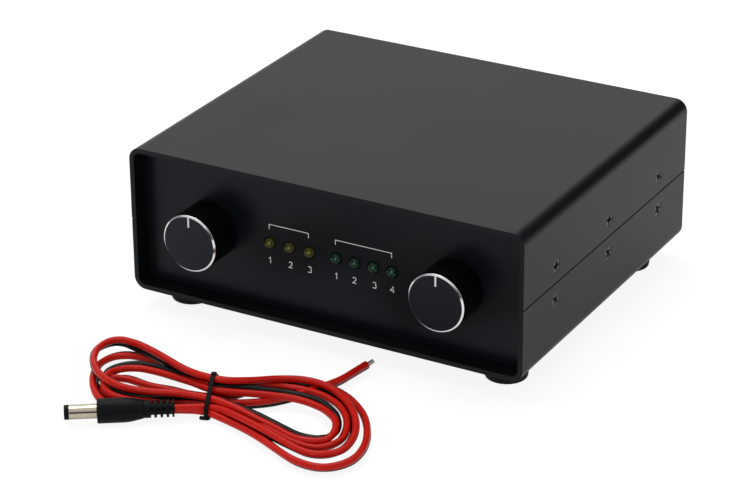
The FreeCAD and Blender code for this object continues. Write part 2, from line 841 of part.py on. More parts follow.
def rear_wires():
    """A wire from each socket's contact, and one from the power jack's pin."""
    wires = [rear_wire(x, contact_tail_y, z, rear_wire_sidestep if z > socket_mid_z else 0)
             for x, z in socket_places()]
    return wires + [rear_wire(jack_place[0], jack_tail_y, jack_place[1], 0)]


# ---------------------------------------------------------------- power jack
def power_jack():
    """The round jack body: outside flange, threaded barrel, plug bore."""
    x, z = jack_place
    y1 = rear_panel_out_y + jack_flange_thickness
    body = cylinder(jack_body_diameter, jack_body_length, (x, jack_rear_y, z), Y)
    body = body.fuse(cylinder(jack_flange_diameter, jack_flange_thickness, (x, rear_panel_out_y, z), Y))
    body = body.cut(cylinder(jack_bore_diameter, jack_bore_depth, (x, y1 - jack_bore_depth, z), Y))
    hole = jack_pin_diameter + 2 * thread_clearance
    return body.cut(cylinder(hole, jack_body_length, (x, jack_rear_y, z), Y)).removeSplitter()


def power_jack_pin():
    """The jack's centre pin, which stands out behind the body as a solder tail."""
    x, z = jack_place
    length = rear_panel_out_y + jack_flange_thickness - jack_pin_recess - jack_tail_y
    return cylinder(jack_pin_diameter, length, (x, jack_tail_y, z), Y)


def power_jack_nut():
    """The nut that clamps the jack from inside."""
    x, z = jack_place
    y = rear_panel_in_y - jack_nut_thickness
    nut = hexagon(jack_nut_across_flats, jack_nut_thickness, (x, y, z))
    hole = jack_body_diameter + 2 * thread_clearance
    return nut.cut(cylinder(hole, jack_nut_thickness, (x, y, z), Y))


# ---------------------------------------------------------------- power lead
def tangent_points(centre, radius, corner, side):
    """Where the line from corner touches the circle, on the side asked for."""
    away = Vector(centre[0] - corner[0], centre[1] - corner[1], 0)
    spread = math.asin(radius / away.Length) * side
    reach = math.sqrt(away.Length ** 2 - radius ** 2)
    heading = FreeCAD.Rotation(Z, math.degrees(spread)).multVec(away.normalize())
    return (corner[0] + heading.x * reach, corner[1] + heading.y * reach)


def lead_hank():
    """The tied hank's outer shape: two round lobes, drawn in to the waist at the tie."""
    upper = (tie_x, tie_y + waist_half_width)
    lower = (tie_x, tie_y - waist_half_width)
    outline = []
    for centre, radius, turn in ((hank_left, hank_left_radius, -1), (hank_right, hank_right_radius, 1)):
        start = tangent_points(centre, radius, upper, turn)
        end = tangent_points(centre, radius, lower, -turn)
        outline.append(prism([(*p, 0) for p in (upper, start, (*centre,), end, lower)], Z * hank_height))
        outline.append(cylinder(2 * radius, hank_height, (*centre, 0), Z))
    entry = Vector(*plug_heading, 0).normalize() * -1
    outline.append(cylinder(plug_stub_diameter, plug_stub_length, plug_end, entry))
    first, second = [Vector(*p, pair_radius) for p in tail_points[:2]]
    inwards = (first - second).normalize()
    outline.append(cylinder(2 * pair_radius, tail_stub_length, first, inwards))
    body = outline[0].fuse(outline[1:]).removeSplitter()
    return body.cut(tie_band(2 * waist_half_width, 0).cut(tie_core()))


def tie_band(half, stand_out):
    """A bar across the waist as wide as the tie, half as long each way as asked for."""
    x0 = tie_x - tie_width / 2
    return block(x0, x0 + tie_width, tie_y - half, tie_y + half, 0, hank_height + stand_out)


def tie_core():
    """What is left of the waist inside the tie."""
    half = waist_half_width - tie_thickness
    x0 = tie_x - tie_width / 2
    return block(x0, x0 + tie_width, tie_y - half, tie_y + half,
                 tie_thickness, hank_height - tie_thickness)


def lead_tie():
    """The tie round the waist."""
    return tie_band(waist_half_width + tie_stand_out, tie_stand_out).cut(tie_core())


def lead_tail():
    """The loose end of the twin wire, along the table to where it is stripped."""
    path = bent_path([(*p, pair_radius) for p in tail_points])
    return round_along(path, 2 * pair_radius)


def wire_ends():
    """The two tinned cores at the lead's stripped end."""
    end = Vector(*tail_points[-1], pair_radius)
    heading = (end - Vector(*tail_points[-2], pair_radius)).normalize()
    lift = Z * (wire_diameter / 2)
    return [cylinder(wire_end_diameter, wire_end_length, end + lift * s, heading) for s in (-1, 1)]


def plug_axis(distance):
    """A point on the plug's axis, this far from where the lead enters it."""
    heading = Vector(*plug_heading, 0).normalize()
    return Vector(*plug_end) + heading * distance


def lead_plug():
    """The moulded plug body, and its strain relief round the wires."""
    heading = Vector(*plug_heading, 0).normalize()
    shoulder = plug_body_length * plug_taper_share
    relief = cylinder(relief_diameter, relief_length, plug_axis(0), heading)
    taper = cone(relief_diameter, plug_body_diameter, shoulder, plug_axis(relief_length), heading)
    grip = cylinder(plug_body_diameter, plug_body_length - shoulder,
                    plug_axis(relief_length + shoulder), heading)
    return relief.fuse([taper, grip]).removeSplitter()


def plug_barrel():
    """The plug's metal sleeve."""
    heading = Vector(*plug_heading, 0).normalize()
    at = plug_axis(relief_length + plug_body_length)
    sleeve = cylinder(barrel_diameter, barrel_length, at, heading)
    return sleeve.cut(cylinder(barrel_bore_diameter, barrel_length, at, heading))


def plug_tip():
    """The insulator inside the sleeve, with its black collar at the tip and the pin's bore."""
    heading = Vector(*plug_heading, 0).normalize()
    start = relief_length + plug_body_length
    core = cylinder(barrel_bore_diameter, barrel_length, plug_axis(start), heading)
    collar = cylinder(barrel_diameter, tip_length, plug_axis(start + barrel_length), heading)
    bore = cylinder(tip_bore_diameter, barrel_length + tip_length, plug_axis(start), heading)
    return core.fuse(collar).cut(bore).removeSplitter()


# ---------------------------------------------------------------- the whole object
pieces = {
    "top_cover": cover(True),
    "bottom_cover": bottom_cover(),
    "front_panel": front_panel(),
    "rear_panel": rear_panel(),
    "left_side_rail": side_rail(-1),
    "right_side_rail": side_rail(1),
    "side_screws": side_screws(),
    "panel_nuts": panel_nuts(),
    "feet": [foot(x, y) for x, y in foot_places()],
    "foot_screws": foot_screws(),
    "switch_bodies": [switch_body(x) for x in selector_x.values()],
    "switch_wafers": sum([switch_wafer(x) for x in selector_x.values()], []),
    "switch_nuts": [switch_nut(x) for x in selector_x.values()],
    "antenna_lamps": [lamp(x) for x in lamp_places("antenna")],
    "transceiver_lamps": [lamp(x) for x in lamp_places("transceiver")],
    "lamp_board": lamp_board(),
    "lamp_board_pillars": lamp_board_pillars(),
    "main_board": main_board(),
    "board_pillars": board_pillars(),
    "antenna_relays": [relay(x, antenna_relay_y) for x in column_x[:antenna_count]],
    "transceiver_relays": [relay(x, transceiver_relay_y) for x in column_x[:transceiver_count]],
    "voltage_regulator": voltage_regulator(),
    "capacitors": [capacitor(s * capacitor_spacing / 2) for s in (-1, 1)],
    "selector_cables": selector_cables(),
    "antenna_sockets": [socket(x, z) for x, z in socket_places()[:antenna_count]],
    "transceiver_sockets": [socket(x, z) for x, z in socket_places()[antenna_count:]],
    "socket_insulators": [socket_insulator(x, z) for x, z in socket_places()],
    "socket_contacts": [socket_contact(x, z) for x, z in socket_places()],
    "socket_nuts": [socket_nut(x, z) for x, z in socket_places()],
    "rear_wires": rear_wires(),
    "power_jack": power_jack(),
    "power_jack_pin": power_jack_pin(),
    "power_jack_nut": power_jack_nut(),
    "lead_hank": lead_hank(),
    "lead_tail": lead_tail(),
    "lead_plug": lead_plug(),
    "plug_barrel": plug_barrel(),
    "plug_tip": plug_tip(),
    "lead_tie": lead_tie(),
    "wire_ends": wire_ends(),
}
for name, x in selector_x.items():
    pieces[name + "_knob"] = knob(x)
    pieces[name + "_knob_screw"] = knob_screw(x)
    pieces[name + "_switch_shaft"] = switch_shaft(x)
    pieces[name + "_switch_rotor"] = switch_rotor(x)

os.makedirs("parts", exist_ok=True)
for name, shape in pieces.items():
    if isinstance(shape, list):
        shape = Part.makeCompound(shape)
    shape.exportStep(f"parts/{name}.step")
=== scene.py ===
"""The looks of a desktop coaxial antenna switch and its loose power lead.

Lengths in this file are millimetres, and MM turns them to Blender's metres when a mesh is made.
"""
import json
import math

import bmesh
import bpy
import numpy as np
from mathutils import Matrix, Vector

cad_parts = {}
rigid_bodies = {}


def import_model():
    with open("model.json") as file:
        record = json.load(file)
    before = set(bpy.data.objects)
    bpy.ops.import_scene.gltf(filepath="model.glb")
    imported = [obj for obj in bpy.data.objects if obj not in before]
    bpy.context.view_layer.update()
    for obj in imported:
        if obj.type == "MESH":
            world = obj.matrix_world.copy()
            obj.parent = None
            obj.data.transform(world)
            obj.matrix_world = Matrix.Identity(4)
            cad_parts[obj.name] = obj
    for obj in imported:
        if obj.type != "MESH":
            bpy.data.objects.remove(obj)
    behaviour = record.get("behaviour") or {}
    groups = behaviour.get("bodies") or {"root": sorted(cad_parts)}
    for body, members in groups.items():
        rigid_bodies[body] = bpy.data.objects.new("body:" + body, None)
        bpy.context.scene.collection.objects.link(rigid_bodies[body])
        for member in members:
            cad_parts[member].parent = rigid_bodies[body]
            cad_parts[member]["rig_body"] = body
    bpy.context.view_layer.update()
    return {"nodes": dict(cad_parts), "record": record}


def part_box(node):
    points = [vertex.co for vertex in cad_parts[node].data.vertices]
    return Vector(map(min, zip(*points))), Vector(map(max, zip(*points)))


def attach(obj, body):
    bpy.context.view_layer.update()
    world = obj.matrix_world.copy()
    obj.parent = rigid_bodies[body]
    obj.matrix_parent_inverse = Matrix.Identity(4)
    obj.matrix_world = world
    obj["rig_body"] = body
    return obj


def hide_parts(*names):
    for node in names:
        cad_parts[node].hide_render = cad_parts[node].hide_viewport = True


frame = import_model()
nodes = frame["nodes"]
scene = bpy.context.scene

MM = 0.001
X, Y, Z = np.eye(3)
TURN = 2 * np.pi


# ---------------- sizes read from the frame
def limits(node):
    """A node's lowest and highest corners in millimetres."""
    low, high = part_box(node)
    return np.array(low) / MM, np.array(high) / MM


def row_of(node, count, across):
    """The centres along X of a row of equal round things that fill a node's box."""
    low, high = limits(node)
    return np.linspace(low[0] + across / 2, high[0] - across / 2, count)


# ---------------- node helpers
def colour(code):
    """An sRGB hex colour as linear red, green, blue and alpha."""
    parts = [int(code[i:i + 2], 16) / 255 for i in (1, 3, 5)]
    return [c / 12.92 if c <= 0.04045 else ((c + 0.055) / 1.055) ** 2.4 for c in parts] + [1.0]


def plug_in(tree, node, sockets):
    """Sets a node's sockets: another node's output is linked, anything else is the value."""
    for name, value in sockets.items():
        if isinstance(value, bpy.types.NodeSocket):
            tree.links.new(value, node.inputs[name])
        else:
            node.inputs[name].default_value = value


def add(tree, kind, sockets=None, **settings):
    """Adds a shader node with its settings and its sockets."""
    made = tree.nodes.new("ShaderNode" + kind)
    for name, value in settings.items():
        setattr(made, name, value)
    plug_in(tree, made, sockets or {})
    return made


def new_material(name):
    """An empty material, its node tree, its shader and the place on the piece in metres."""
    material = bpy.data.materials.new(name)
    material.use_nodes = True
    tree = material.node_tree
    place = add(tree, "TexCoord").outputs["Object"]
    return material, tree, tree.nodes["Principled BSDF"], place


def spots(size):
    """The noise scale whose spots are about this many millimetres across."""
    return 1 / (size * MM)


def rings_apart(gap):
    """The wave scale whose rings are this many millimetres apart: they are 0.314 / scale apart."""
    return 0.314 / (gap * MM)


def shaded(tree, place, size, dark, light, detail=2.0):
    """A colour that drifts between two shades in spots of a size in millimetres, and the spots."""
    drift = add(tree, "TexNoise",
                {"Vector": place, "Scale": spots(size), "Detail": detail}).outputs["Fac"]
    mix = add(tree, "Mix", {0: drift, 6: colour(dark), 7: colour(light)}, data_type="RGBA")
    return mix.outputs[2], drift


def grained(tree, place, size, depth, strength):
    """The normals of a fine grain, from the size of its spots and its depth in millimetres."""
    grain = add(tree, "TexNoise", {"Vector": place, "Scale": spots(size)}).outputs["Fac"]
    return add(tree, "Bump", {"Height": grain, "Distance": depth * MM,
                              "Strength": strength}).outputs["Normal"]


# ---------------- painted and printed surfaces
def powder_coat():
    """Baked powder coat on sheet metal: satin black-grey with a very fine, even orange peel.
    Its grain is about 0.4 mm across, and its gloss drifts a little over some centimetres."""
    material, tree, shader, place = new_material("powder_coat")
    drift = add(tree, "TexNoise",
                {"Vector": place, "Scale": spots(60), "Detail": 1.0}).outputs["Fac"]
    gloss = add(tree, "MapRange",
                {"Value": drift, "To Min": 0.34, "To Max": 0.42}).outputs["Result"]
    bump = grained(tree, place, 0.4, 0.01, 0.4)
    plug_in(tree, shader, {"Base Color": colour("#0e1013"), "Roughness": gloss,
                           "Specular IOR Level": 0.175, "Specular Tint": colour("#f2f5ff"),
                           "Normal": bump})
    return material


def panel_enamel():
    """Stoved black enamel on the two panels: flatter and darker than the covers, 0.3 mm grain."""
    material, tree, shader, place = new_material("panel_enamel")
    bump = grained(tree, place, 0.3, 0.008, 0.4)
    cloud = add(tree, "TexNoise",
                {"Vector": place, "Scale": spots(25), "Detail": 1.0}).outputs["Fac"]
    gloss = add(tree, "MapRange",
                {"Value": cloud, "To Min": 0.28, "To Max": 0.34}).outputs["Result"]
    plug_in(tree, shader, {"Base Color": colour("#0c1014"), "Roughness": gloss,
                           "Specular IOR Level": 0.17, "Specular Tint": colour("#f0f4ff"),
                           "Normal": bump})
    return material


def screen_print():
    """White screen-printing ink: a thin film, a little uneven where the mesh left it thinner."""
    material, tree, shader, place = new_material("screen_print")
    shade, _ = shaded(tree, place, 0.25, "#dfe0e0", "#fbfbfb")
    plug_in(tree, shader, {"Base Color": shade, "Roughness": 0.6,
                           "Specular IOR Level": 0.3})
    return material


# ---------------- metals
def anodised_black(name, centre, dye_and_shade, sheen):
    """Black anodised aluminium, turned on a lathe: rings 0.8 mm apart under a soft sheen."""
    material, tree, shader, place = new_material(name)
    middle = add(tree, "Mapping", {"Vector": place, "Location": -centre * MM}).outputs["Vector"]
    rings = add(tree, "TexWave", {"Vector": middle, "Scale": rings_apart(0.785), "Distortion": 0.3},
                wave_type="RINGS", rings_direction="Y").outputs["Fac"]
    gloss = add(tree, "MapRange",
                {"Value": rings, "To Min": 0.36, "To Max": 0.44}).outputs["Result"]
    bump = add(tree, "Bump",
               {"Height": rings, "Distance": 0.004 * MM, "Strength": 0.3}).outputs["Normal"]
    # the dye colour also carries painted shade: a knob's side gets a darker copy of this finish
    plug_in(tree, shader, {"Base Color": colour(dye_and_shade), "Roughness": gloss,
                           "Specular IOR Level": sheen, "Specular Tint": colour("#e2e9ff"),
                           "Normal": bump})
    return material


def bright_cut(name, centre):
    """Aluminium cut bright by a diamond tool: almost a mirror, with faint marks 0.24 mm apart."""
    material, tree, shader, place = new_material(name)
    middle = add(tree, "Mapping", {"Vector": place, "Location": -centre * MM}).outputs["Vector"]
    marks = add(tree, "TexWave", {"Vector": middle, "Scale": rings_apart(0.2355)},
                wave_type="RINGS", rings_direction="Y").outputs["Fac"]
    bump = add(tree, "Bump",
               {"Height": marks, "Distance": 0.002 * MM, "Strength": 0.3}).outputs["Normal"]
    plug_in(tree, shader, {"Base Color": colour("#e6e7e8"), "Roughness": 0.14, "Metallic": 1.0,
                           "Normal": bump})
    return material


def black_oxide():
    """Black oxide on a steel screw: thin, slightly glossy, and grey where the driver rubbed it."""
    material, tree, shader, place = new_material("black_oxide")
    shade, _ = shaded(tree, place, 0.9, "#1a1a1c", "#333337", 3.0)
    plug_in(tree, shader, {"Base Color": shade, "Roughness": 0.3, "Metallic": 0.35})
    return material


def plated(name, dull, bright, low, high):
    """Plate on turned metal: a cloudy bloom some millimetres across and fine turning marks."""
    material, tree, shader, place = new_material(name)
    shade, bloom = shaded(tree, place, 3.5, dull, bright)
    gloss = add(tree, "MapRange", {"Value": bloom, "To Min": low, "To Max": high}).outputs["Result"]
    bump = grained(tree, place, 0.2, 0.003, 0.3)
    plug_in(tree, shader, {"Base Color": shade, "Roughness": gloss, "Metallic": 1.0,
                           "Normal": bump})
    return material


# ---------------- plastics
def moulding(name, dark, light, roughness=0.45, shine=0.35):
    """Moulded plastic: slow drift in its colour and a fine spark-eroded grain, 0.3 mm across."""
    material, tree, shader, place = new_material(name)
    shade, _ = shaded(tree, place, 7, dark, light)
    bump = grained(tree, place, 0.3, 0.01, 0.4)
    plug_in(tree, shader, {"Base Color": shade, "Roughness": roughness,
                           "Specular IOR Level": shine, "Normal": bump})
    return material


def soft_vinyl(name, dark, light):
    """Extruded vinyl insulation: saturated and waxy, its colour drifting along the wire, with
    shallow handling marks about 1.2 mm across."""
    material, tree, shader, place = new_material(name)
    shade, _ = shaded(tree, place, 20, dark, light)
    bump = grained(tree, place, 1.2, 0.015, 0.25)
    plug_in(tree, shader, {"Base Color": shade, "Roughness": 0.36,
                           "Specular IOR Level": 0.17, "Normal": bump})
    return material


def tinted_epoxy(name, rim, body, die_glint):
    """Tinted lamp epoxy, cast glossy: darker at its edge, which is painted shade, clearer inwards,
    and with a small pale spot over the chip's cup, which is a painted highlight. A point attribute
    on the lens is 1 over that spot and 0 at the lamp's edge."""
    material, tree, shader, _ = new_material(name)
    painted_light_level = add(tree, "Attribute", attribute_name="painted_light_level").outputs["Fac"]
    # painted light in the colour: the edge colour is painted shade, the pale spot's colour a
    # painted highlight
    ramp = add(tree, "ValToRGB", {"Fac": painted_light_level})
    stops = ramp.color_ramp.elements
    stops[0].color, stops[1].color = colour(rim), colour(die_glint)
    for position, code in ((0.4, body), (0.7, body)):
        stops.new(position).color = colour(code)
    plug_in(tree, shader, {"Base Color": ramp.outputs["Color"], "Roughness": 0.12,
                           "Specular IOR Level": 0.22})
    return material


def moulded_rubber():
    """Moulded black rubber: dull, with a soft grain about 0.5 mm across and a trace of dust."""
    material, tree, shader, place = new_material("moulded_rubber")
    shade, _ = shaded(tree, place, 4, "#08080a", "#101012", 3.0)
    bump = grained(tree, place, 0.5, 0.03, 0.5)
    plug_in(tree, shader, {"Base Color": shade, "Roughness": 0.6,
                           "Specular IOR Level": 0.15, "Normal": bump})
    return material


# ---------------- mesh helpers
def quads(rows, columns):
    """The faces between neighbouring rows of a grid of points whose columns close up."""
    near = np.arange(rows * columns).reshape(rows, columns)
    far = np.roll(near, -1, axis=1)
    return np.stack([near[:-1], far[:-1], far[1:], near[1:]], axis=-1).reshape(-1, 4)


def square_to(axis):
    """A unit axis, and two unit directions at right angles to it and to each other."""
    axis = np.array(axis, float) / np.linalg.norm(axis)
    side = np.cross(axis, Z if abs(axis[2]) < 0.9 else X)
    side /= np.linalg.norm(side)
    return axis, side, np.cross(side, axis)


def turned(radii, along, centre, axis, columns=64):
    """A surface turned about a line: centre + along * axis + radius * (cos a * side + sin a * up).
    Radius and along have one value for each row, or one for each row and column."""
    axis, side, up = square_to(axis)
    radii, along = (np.array(v, float) for v in (radii, along))
    radii = radii[:, None] if radii.ndim == 1 else radii
    along = along[:, None] if along.ndim == 1 else along
    wide = max(radii.shape[1], along.shape[1])
    columns = wide if wide > 1 else columns
    angle = np.linspace(0, TURN, columns, endpoint=False)
    spoke = np.cos(angle)[:, None] * side + np.sin(angle)[:, None] * up
    reach = np.broadcast_to(radii, (len(radii), columns))[..., None]
    step = np.broadcast_to(along, (len(radii), columns))[..., None]
    points = np.array(centre, float) + step * axis + reach * spoke
    return points.reshape(-1, 3), quads(len(radii), columns)


def turned_rows(rows, centre, axis, columns):
    """A turned surface from (radius, along) rows, each one value or one for every column."""
    radii, along = (np.array([np.broadcast_to(row[k], columns) for row in rows]) for k in (0, 1))
    return turned(radii, along, centre, axis)


def softened(corners, steps=4):
    """An outline through (u, v, size) corners, each rounded by the quadratic curve that starts
    one size before the corner and ends one size after it."""
    corners = np.array(corners, float)
    share = np.linspace(0, 1, steps + 1)[:, None]
    points = [corners[:1, :2]]
    for before, at, after in zip(corners, corners[1:], corners[2:]):
        if not at[2]:
            points.append(at[None, :2])
            continue
        back, ahead = before[:2] - at[:2], after[:2] - at[:2]
        start = at[:2] + back / np.linalg.norm(back) * at[2]
        end = at[:2] + ahead / np.linalg.norm(ahead) * at[2]
        points.append((1 - share) ** 2 * start + 2 * share * (1 - share) * at[:2]
                      + share ** 2 * end)
    points.append(corners[-1:, :2])
    return np.concatenate(points)


def lathe(corners, centre, axis, columns=64):
    """A solid turned from (radius, along, rounding) corners."""
    outline = softened(corners)
    return turned(outline[:, 0], outline[:, 1], centre, axis, columns)


def rounded_block(centre, size, rounding):
    """A block with rounded upright edges, its rims drawn in by rounding * (1 - sin b) at
    rounding * (1 - cos b) from its ends."""
    half = np.array(size) / 2
    b = np.linspace(0, np.pi / 2, 5)
    angle = (np.arange(4)[:, None] * np.pi / 2 + b).ravel()
    corner = np.repeat([(1, 1), (-1, 1), (-1, -1), (1, -1)], 5, axis=0) * (half[:2] - rounding)
    round_it = np.stack([np.cos(angle), np.sin(angle)], axis=1)
    keep, rise = rounding * np.sin(b), rounding * (1 - np.cos(b)) - half[2]
    ring = corner + np.concatenate([keep, keep[::-1]])[:, None, None] * round_it
    level = np.broadcast_to(np.concatenate([rise, -rise[::-1]])[:, None, None], (10, 20, 1))
    rows = np.concatenate([ring, level], axis=2)
    poles = [np.tile([[0, 0, end]], (1, 20, 1)) for end in (-half[2], half[2])]
    points = np.concatenate([poles[0], rows, poles[1]])
    return (points + np.array(centre)).reshape(-1, 3), quads(12, 20)


def piece(name, parts, node, replaces=(), sharp=32):
    """One object from (points, faces, material) parts in millimetres, on node's body."""
    materials = []
    points, faces, uses, start = [], [], [], 0
    for where, around, material in parts:
        if material not in materials:
            materials.append(material)
        points.append(where * MM)
        faces.extend((np.array(around) + start).tolist())
        uses += [materials.index(material)] * len(around)
        start += len(where)
    mesh = bpy.data.meshes.new(name)
    mesh.from_pydata(np.concatenate(points).tolist(), [], faces)
    for material in materials:
        mesh.materials.append(material)
    mesh.polygons.foreach_set("material_index", uses)
    work = bmesh.new()
    work.from_mesh(mesh)
    bmesh.ops.remove_doubles(work, verts=work.verts, dist=0.002 * MM)
    bmesh.ops.dissolve_degenerate(work, edges=work.edges, dist=0.001 * MM)
    bmesh.ops.recalc_face_normals(work, faces=work.faces)
    work.to_mesh(mesh)
    work.free()
    return placed(name, mesh, node, replaces, sharp)


def placed(name, mesh, node, replaces, sharp):
    """An object of a finished mesh: smooth, but crisp at edges over the sharp angle."""
    mesh.shade_smooth()
    mesh.set_sharp_from_angle(angle=math.radians(sharp))
    made = bpy.data.objects.new(name, mesh)
    scene.collection.objects.link(made)
    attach(made, nodes[node]["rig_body"])
    if replaces:
        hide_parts(*replaces)
    return made


def finished_copy(name, node, material, edge):
    """A copy of a sheet-metal node: welded, its flats whole again, its edges softened, and its
    shading led by its large flats."""
    mesh = nodes[node].data.copy()
    mesh.materials.clear()
    mesh.materials.append(material)
    work = bmesh.new()
    work.from_mesh(mesh)
    bmesh.ops.remove_doubles(work, verts=work.verts, dist=0.001 * MM)
    bmesh.ops.dissolve_limit(work, angle_limit=math.radians(0.5), verts=work.verts,
                             edges=work.edges, delimit={"NORMAL"})
    work.to_mesh(mesh)
    work.free()
    made = placed(name, mesh, node, (node,), 30)
    bevel = made.modifiers.new("soft_edges", "BEVEL")
    bevel.width = edge * MM
    bevel.segments = 2
    bevel.limit_method = "ANGLE"
    bevel.angle_limit = math.radians(35)
    flats = made.modifiers.new("flat_shading", "WEIGHTED_NORMAL")
    flats.keep_sharp = True
    flats.weight = 100


# ---------------- camera, lights and floor
def camera():
    """The view from the front right, a little above."""
    data = bpy.data.cameras.new("camera")
    made = bpy.data.objects.new("camera", data)
    scene.collection.objects.link(made)
    azimuth, elevation, roll = (math.radians(a) for a in (29.43, 25.40, -0.37))
    back = Vector((math.sin(azimuth) * math.cos(elevation),
                   -math.cos(azimuth) * math.cos(elevation), math.sin(elevation)))
    right = Vector((math.cos(azimuth), math.sin(azimuth), 0))
    up = back.cross(right)
    across = math.cos(roll) * right + math.sin(roll) * up
    upright = -math.sin(roll) * right + math.cos(roll) * up
    turn = Matrix((across, upright, back)).transposed().to_4x4()
    made.matrix_world = Matrix.Translation(Vector((488.87, -897.47, 497.89)) * MM) @ turn
    data.sensor_width = 36.0
    data.lens = 135.9
    data.clip_start = 0.05
    data.clip_end = 20.0
    scene.camera = made


def soft_box(name, place, aim, size, power):
    """A rectangular soft light at place that faces aim; power in watts."""
    data = bpy.data.lights.new(name, "AREA")
    data.shape = "RECTANGLE"
    data.size, data.size_y = (s * MM for s in size)
    data.energy = power
    made = bpy.data.objects.new(name, data)
    scene.collection.objects.link(made)
    made.location = Vector(place) * MM
    made.rotation_mode = "QUATERNION"
    made.rotation_quaternion = (Vector(aim) - Vector(place)).to_track_quat("-Z", "Y")


def rays(tree):
    """The light path, and 1 for what the camera sees straight or through something clear."""
    ray = add(tree, "LightPath")
    direct = add(tree, "Math", {0: ray.outputs["Is Camera Ray"],
                                1: ray.outputs["Is Transmission Ray"]}, operation="MAXIMUM")
    return ray, direct.outputs["Value"]


def studio():
    """A white room with one soft light above and a small one in front. Mirrors see a dark screen
    behind on the right, which draws the covers' long edges, and the room darken to the left and in
    front towards the table's level."""
    soft_box("light_above", (-250, 150, 1100), (0, 0, 40), (900, 700), 7.0)
    soft_box("light_front", (90, -1000, 380), (0, -80, 37), (150, 150), 1.2)
    world = bpy.data.worlds.new("white_room")
    scene.world = world
    world.use_nodes = True
    tree = world.node_tree
    way = add(tree, "SeparateXYZ", {"Vector": add(tree, "TexCoord").outputs["Generated"]})
    ramps = {}
    for name, axis, start, end, low, high in (
            ("rightward", "X", -0.25, 0.15, 0.0, 1.0), ("backward", "Y", 0.2, 0.5, 0.0, 1.0),
            ("frontward", "Y", -0.3, -0.6, 0.0, 1.0), ("lift", "Z", 0.2, 0.7, 0.05, 0.85),
            ("leftward", "X", -0.65, -0.9, 1.0, 0.3)):
        ramps[name] = add(tree, "MapRange", {"Value": way.outputs[axis], "From Min": start,
                                             "From Max": end, "To Min": low, "To Max": high},
                          interpolation_type="SMOOTHSTEP").outputs["Result"]
    screen = add(tree, "Math", {0: ramps["rightward"], 1: ramps["backward"]},
                 operation="MULTIPLY").outputs["Value"]
    behind = add(tree, "Mix", {0: screen, 2: 1.0, 3: 0.04}).outputs[0]
    ahead = add(tree, "Mix", {0: ramps["frontward"], 2: behind, 3: ramps["lift"]}).outputs[0]
    mirrored = add(tree, "Math", {0: ahead, 1: ramps["leftward"]},
                   operation="MULTIPLY").outputs["Value"]
    ray, direct = rays(tree)
    room = add(tree, "Mix", {0: ray.outputs["Is Glossy Ray"], 2: 0.5, 3: mirrored}).outputs[0]
    strength = add(tree, "Mix", {0: direct, 2: room, 3: 1.0}).outputs[0]
    plug_in(tree, tree.nodes["Background"], {"Color": (1, 1, 1, 1), "Strength": strength})
    scene.view_settings.view_transform = "Standard"


def floor():
    """A wide white table top. The camera sees its own white with a light shadow, mirrors see a
    part of that white, and to every other ray it is plain white paper."""
    half = 3.0
    mesh = bpy.data.meshes.new("table_top")
    mesh.from_pydata([(-half, -half, 0), (half, -half, 0), (half, half, 0), (-half, half, 0)], [],
                     [(0, 1, 2, 3)])
    material, tree, shader, _ = new_material("white_paper")
    ray, direct = rays(tree)
    seen = add(tree, "Math", {0: ray.outputs["Is Glossy Ray"], 1: 0.6, 2: direct},
               operation="MULTIPLY_ADD").outputs["Value"]
    paper = add(tree, "Mix",
                {0: seen, 6: colour("#f2f2f2"), 7: colour("#7c7c7c")}, data_type="RGBA")
    glow = add(tree, "Math", {0: seen, 1: 0.88}, operation="MULTIPLY").outputs["Value"]
    plug_in(tree, shader, {"Base Color": paper.outputs[2], "Roughness": 0.9,
                           "Specular IOR Level": 0.0,
                           "Emission Color": (1, 1, 1, 1), "Emission Strength": glow})
    mesh.materials.append(material)
    made = bpy.data.objects.new("table_top", mesh)
    scene.collection.objects.link(made)


# ---------------- power lead
WIRE = 2.7           # outside diameter of each wire
LONGER = 2.5         # how far the black wire is cut past the red one at the loose end
TIE = np.array((-12.7, -131.7, 0.0))
TIE_TURN = math.radians(17.5)   # from X to the way the bundle runs through its tie
PLUG_END = np.array((-20.7, -143.7, 4.8))
PLUG_HEADING = np.array((-0.832, -0.555, 0.0))
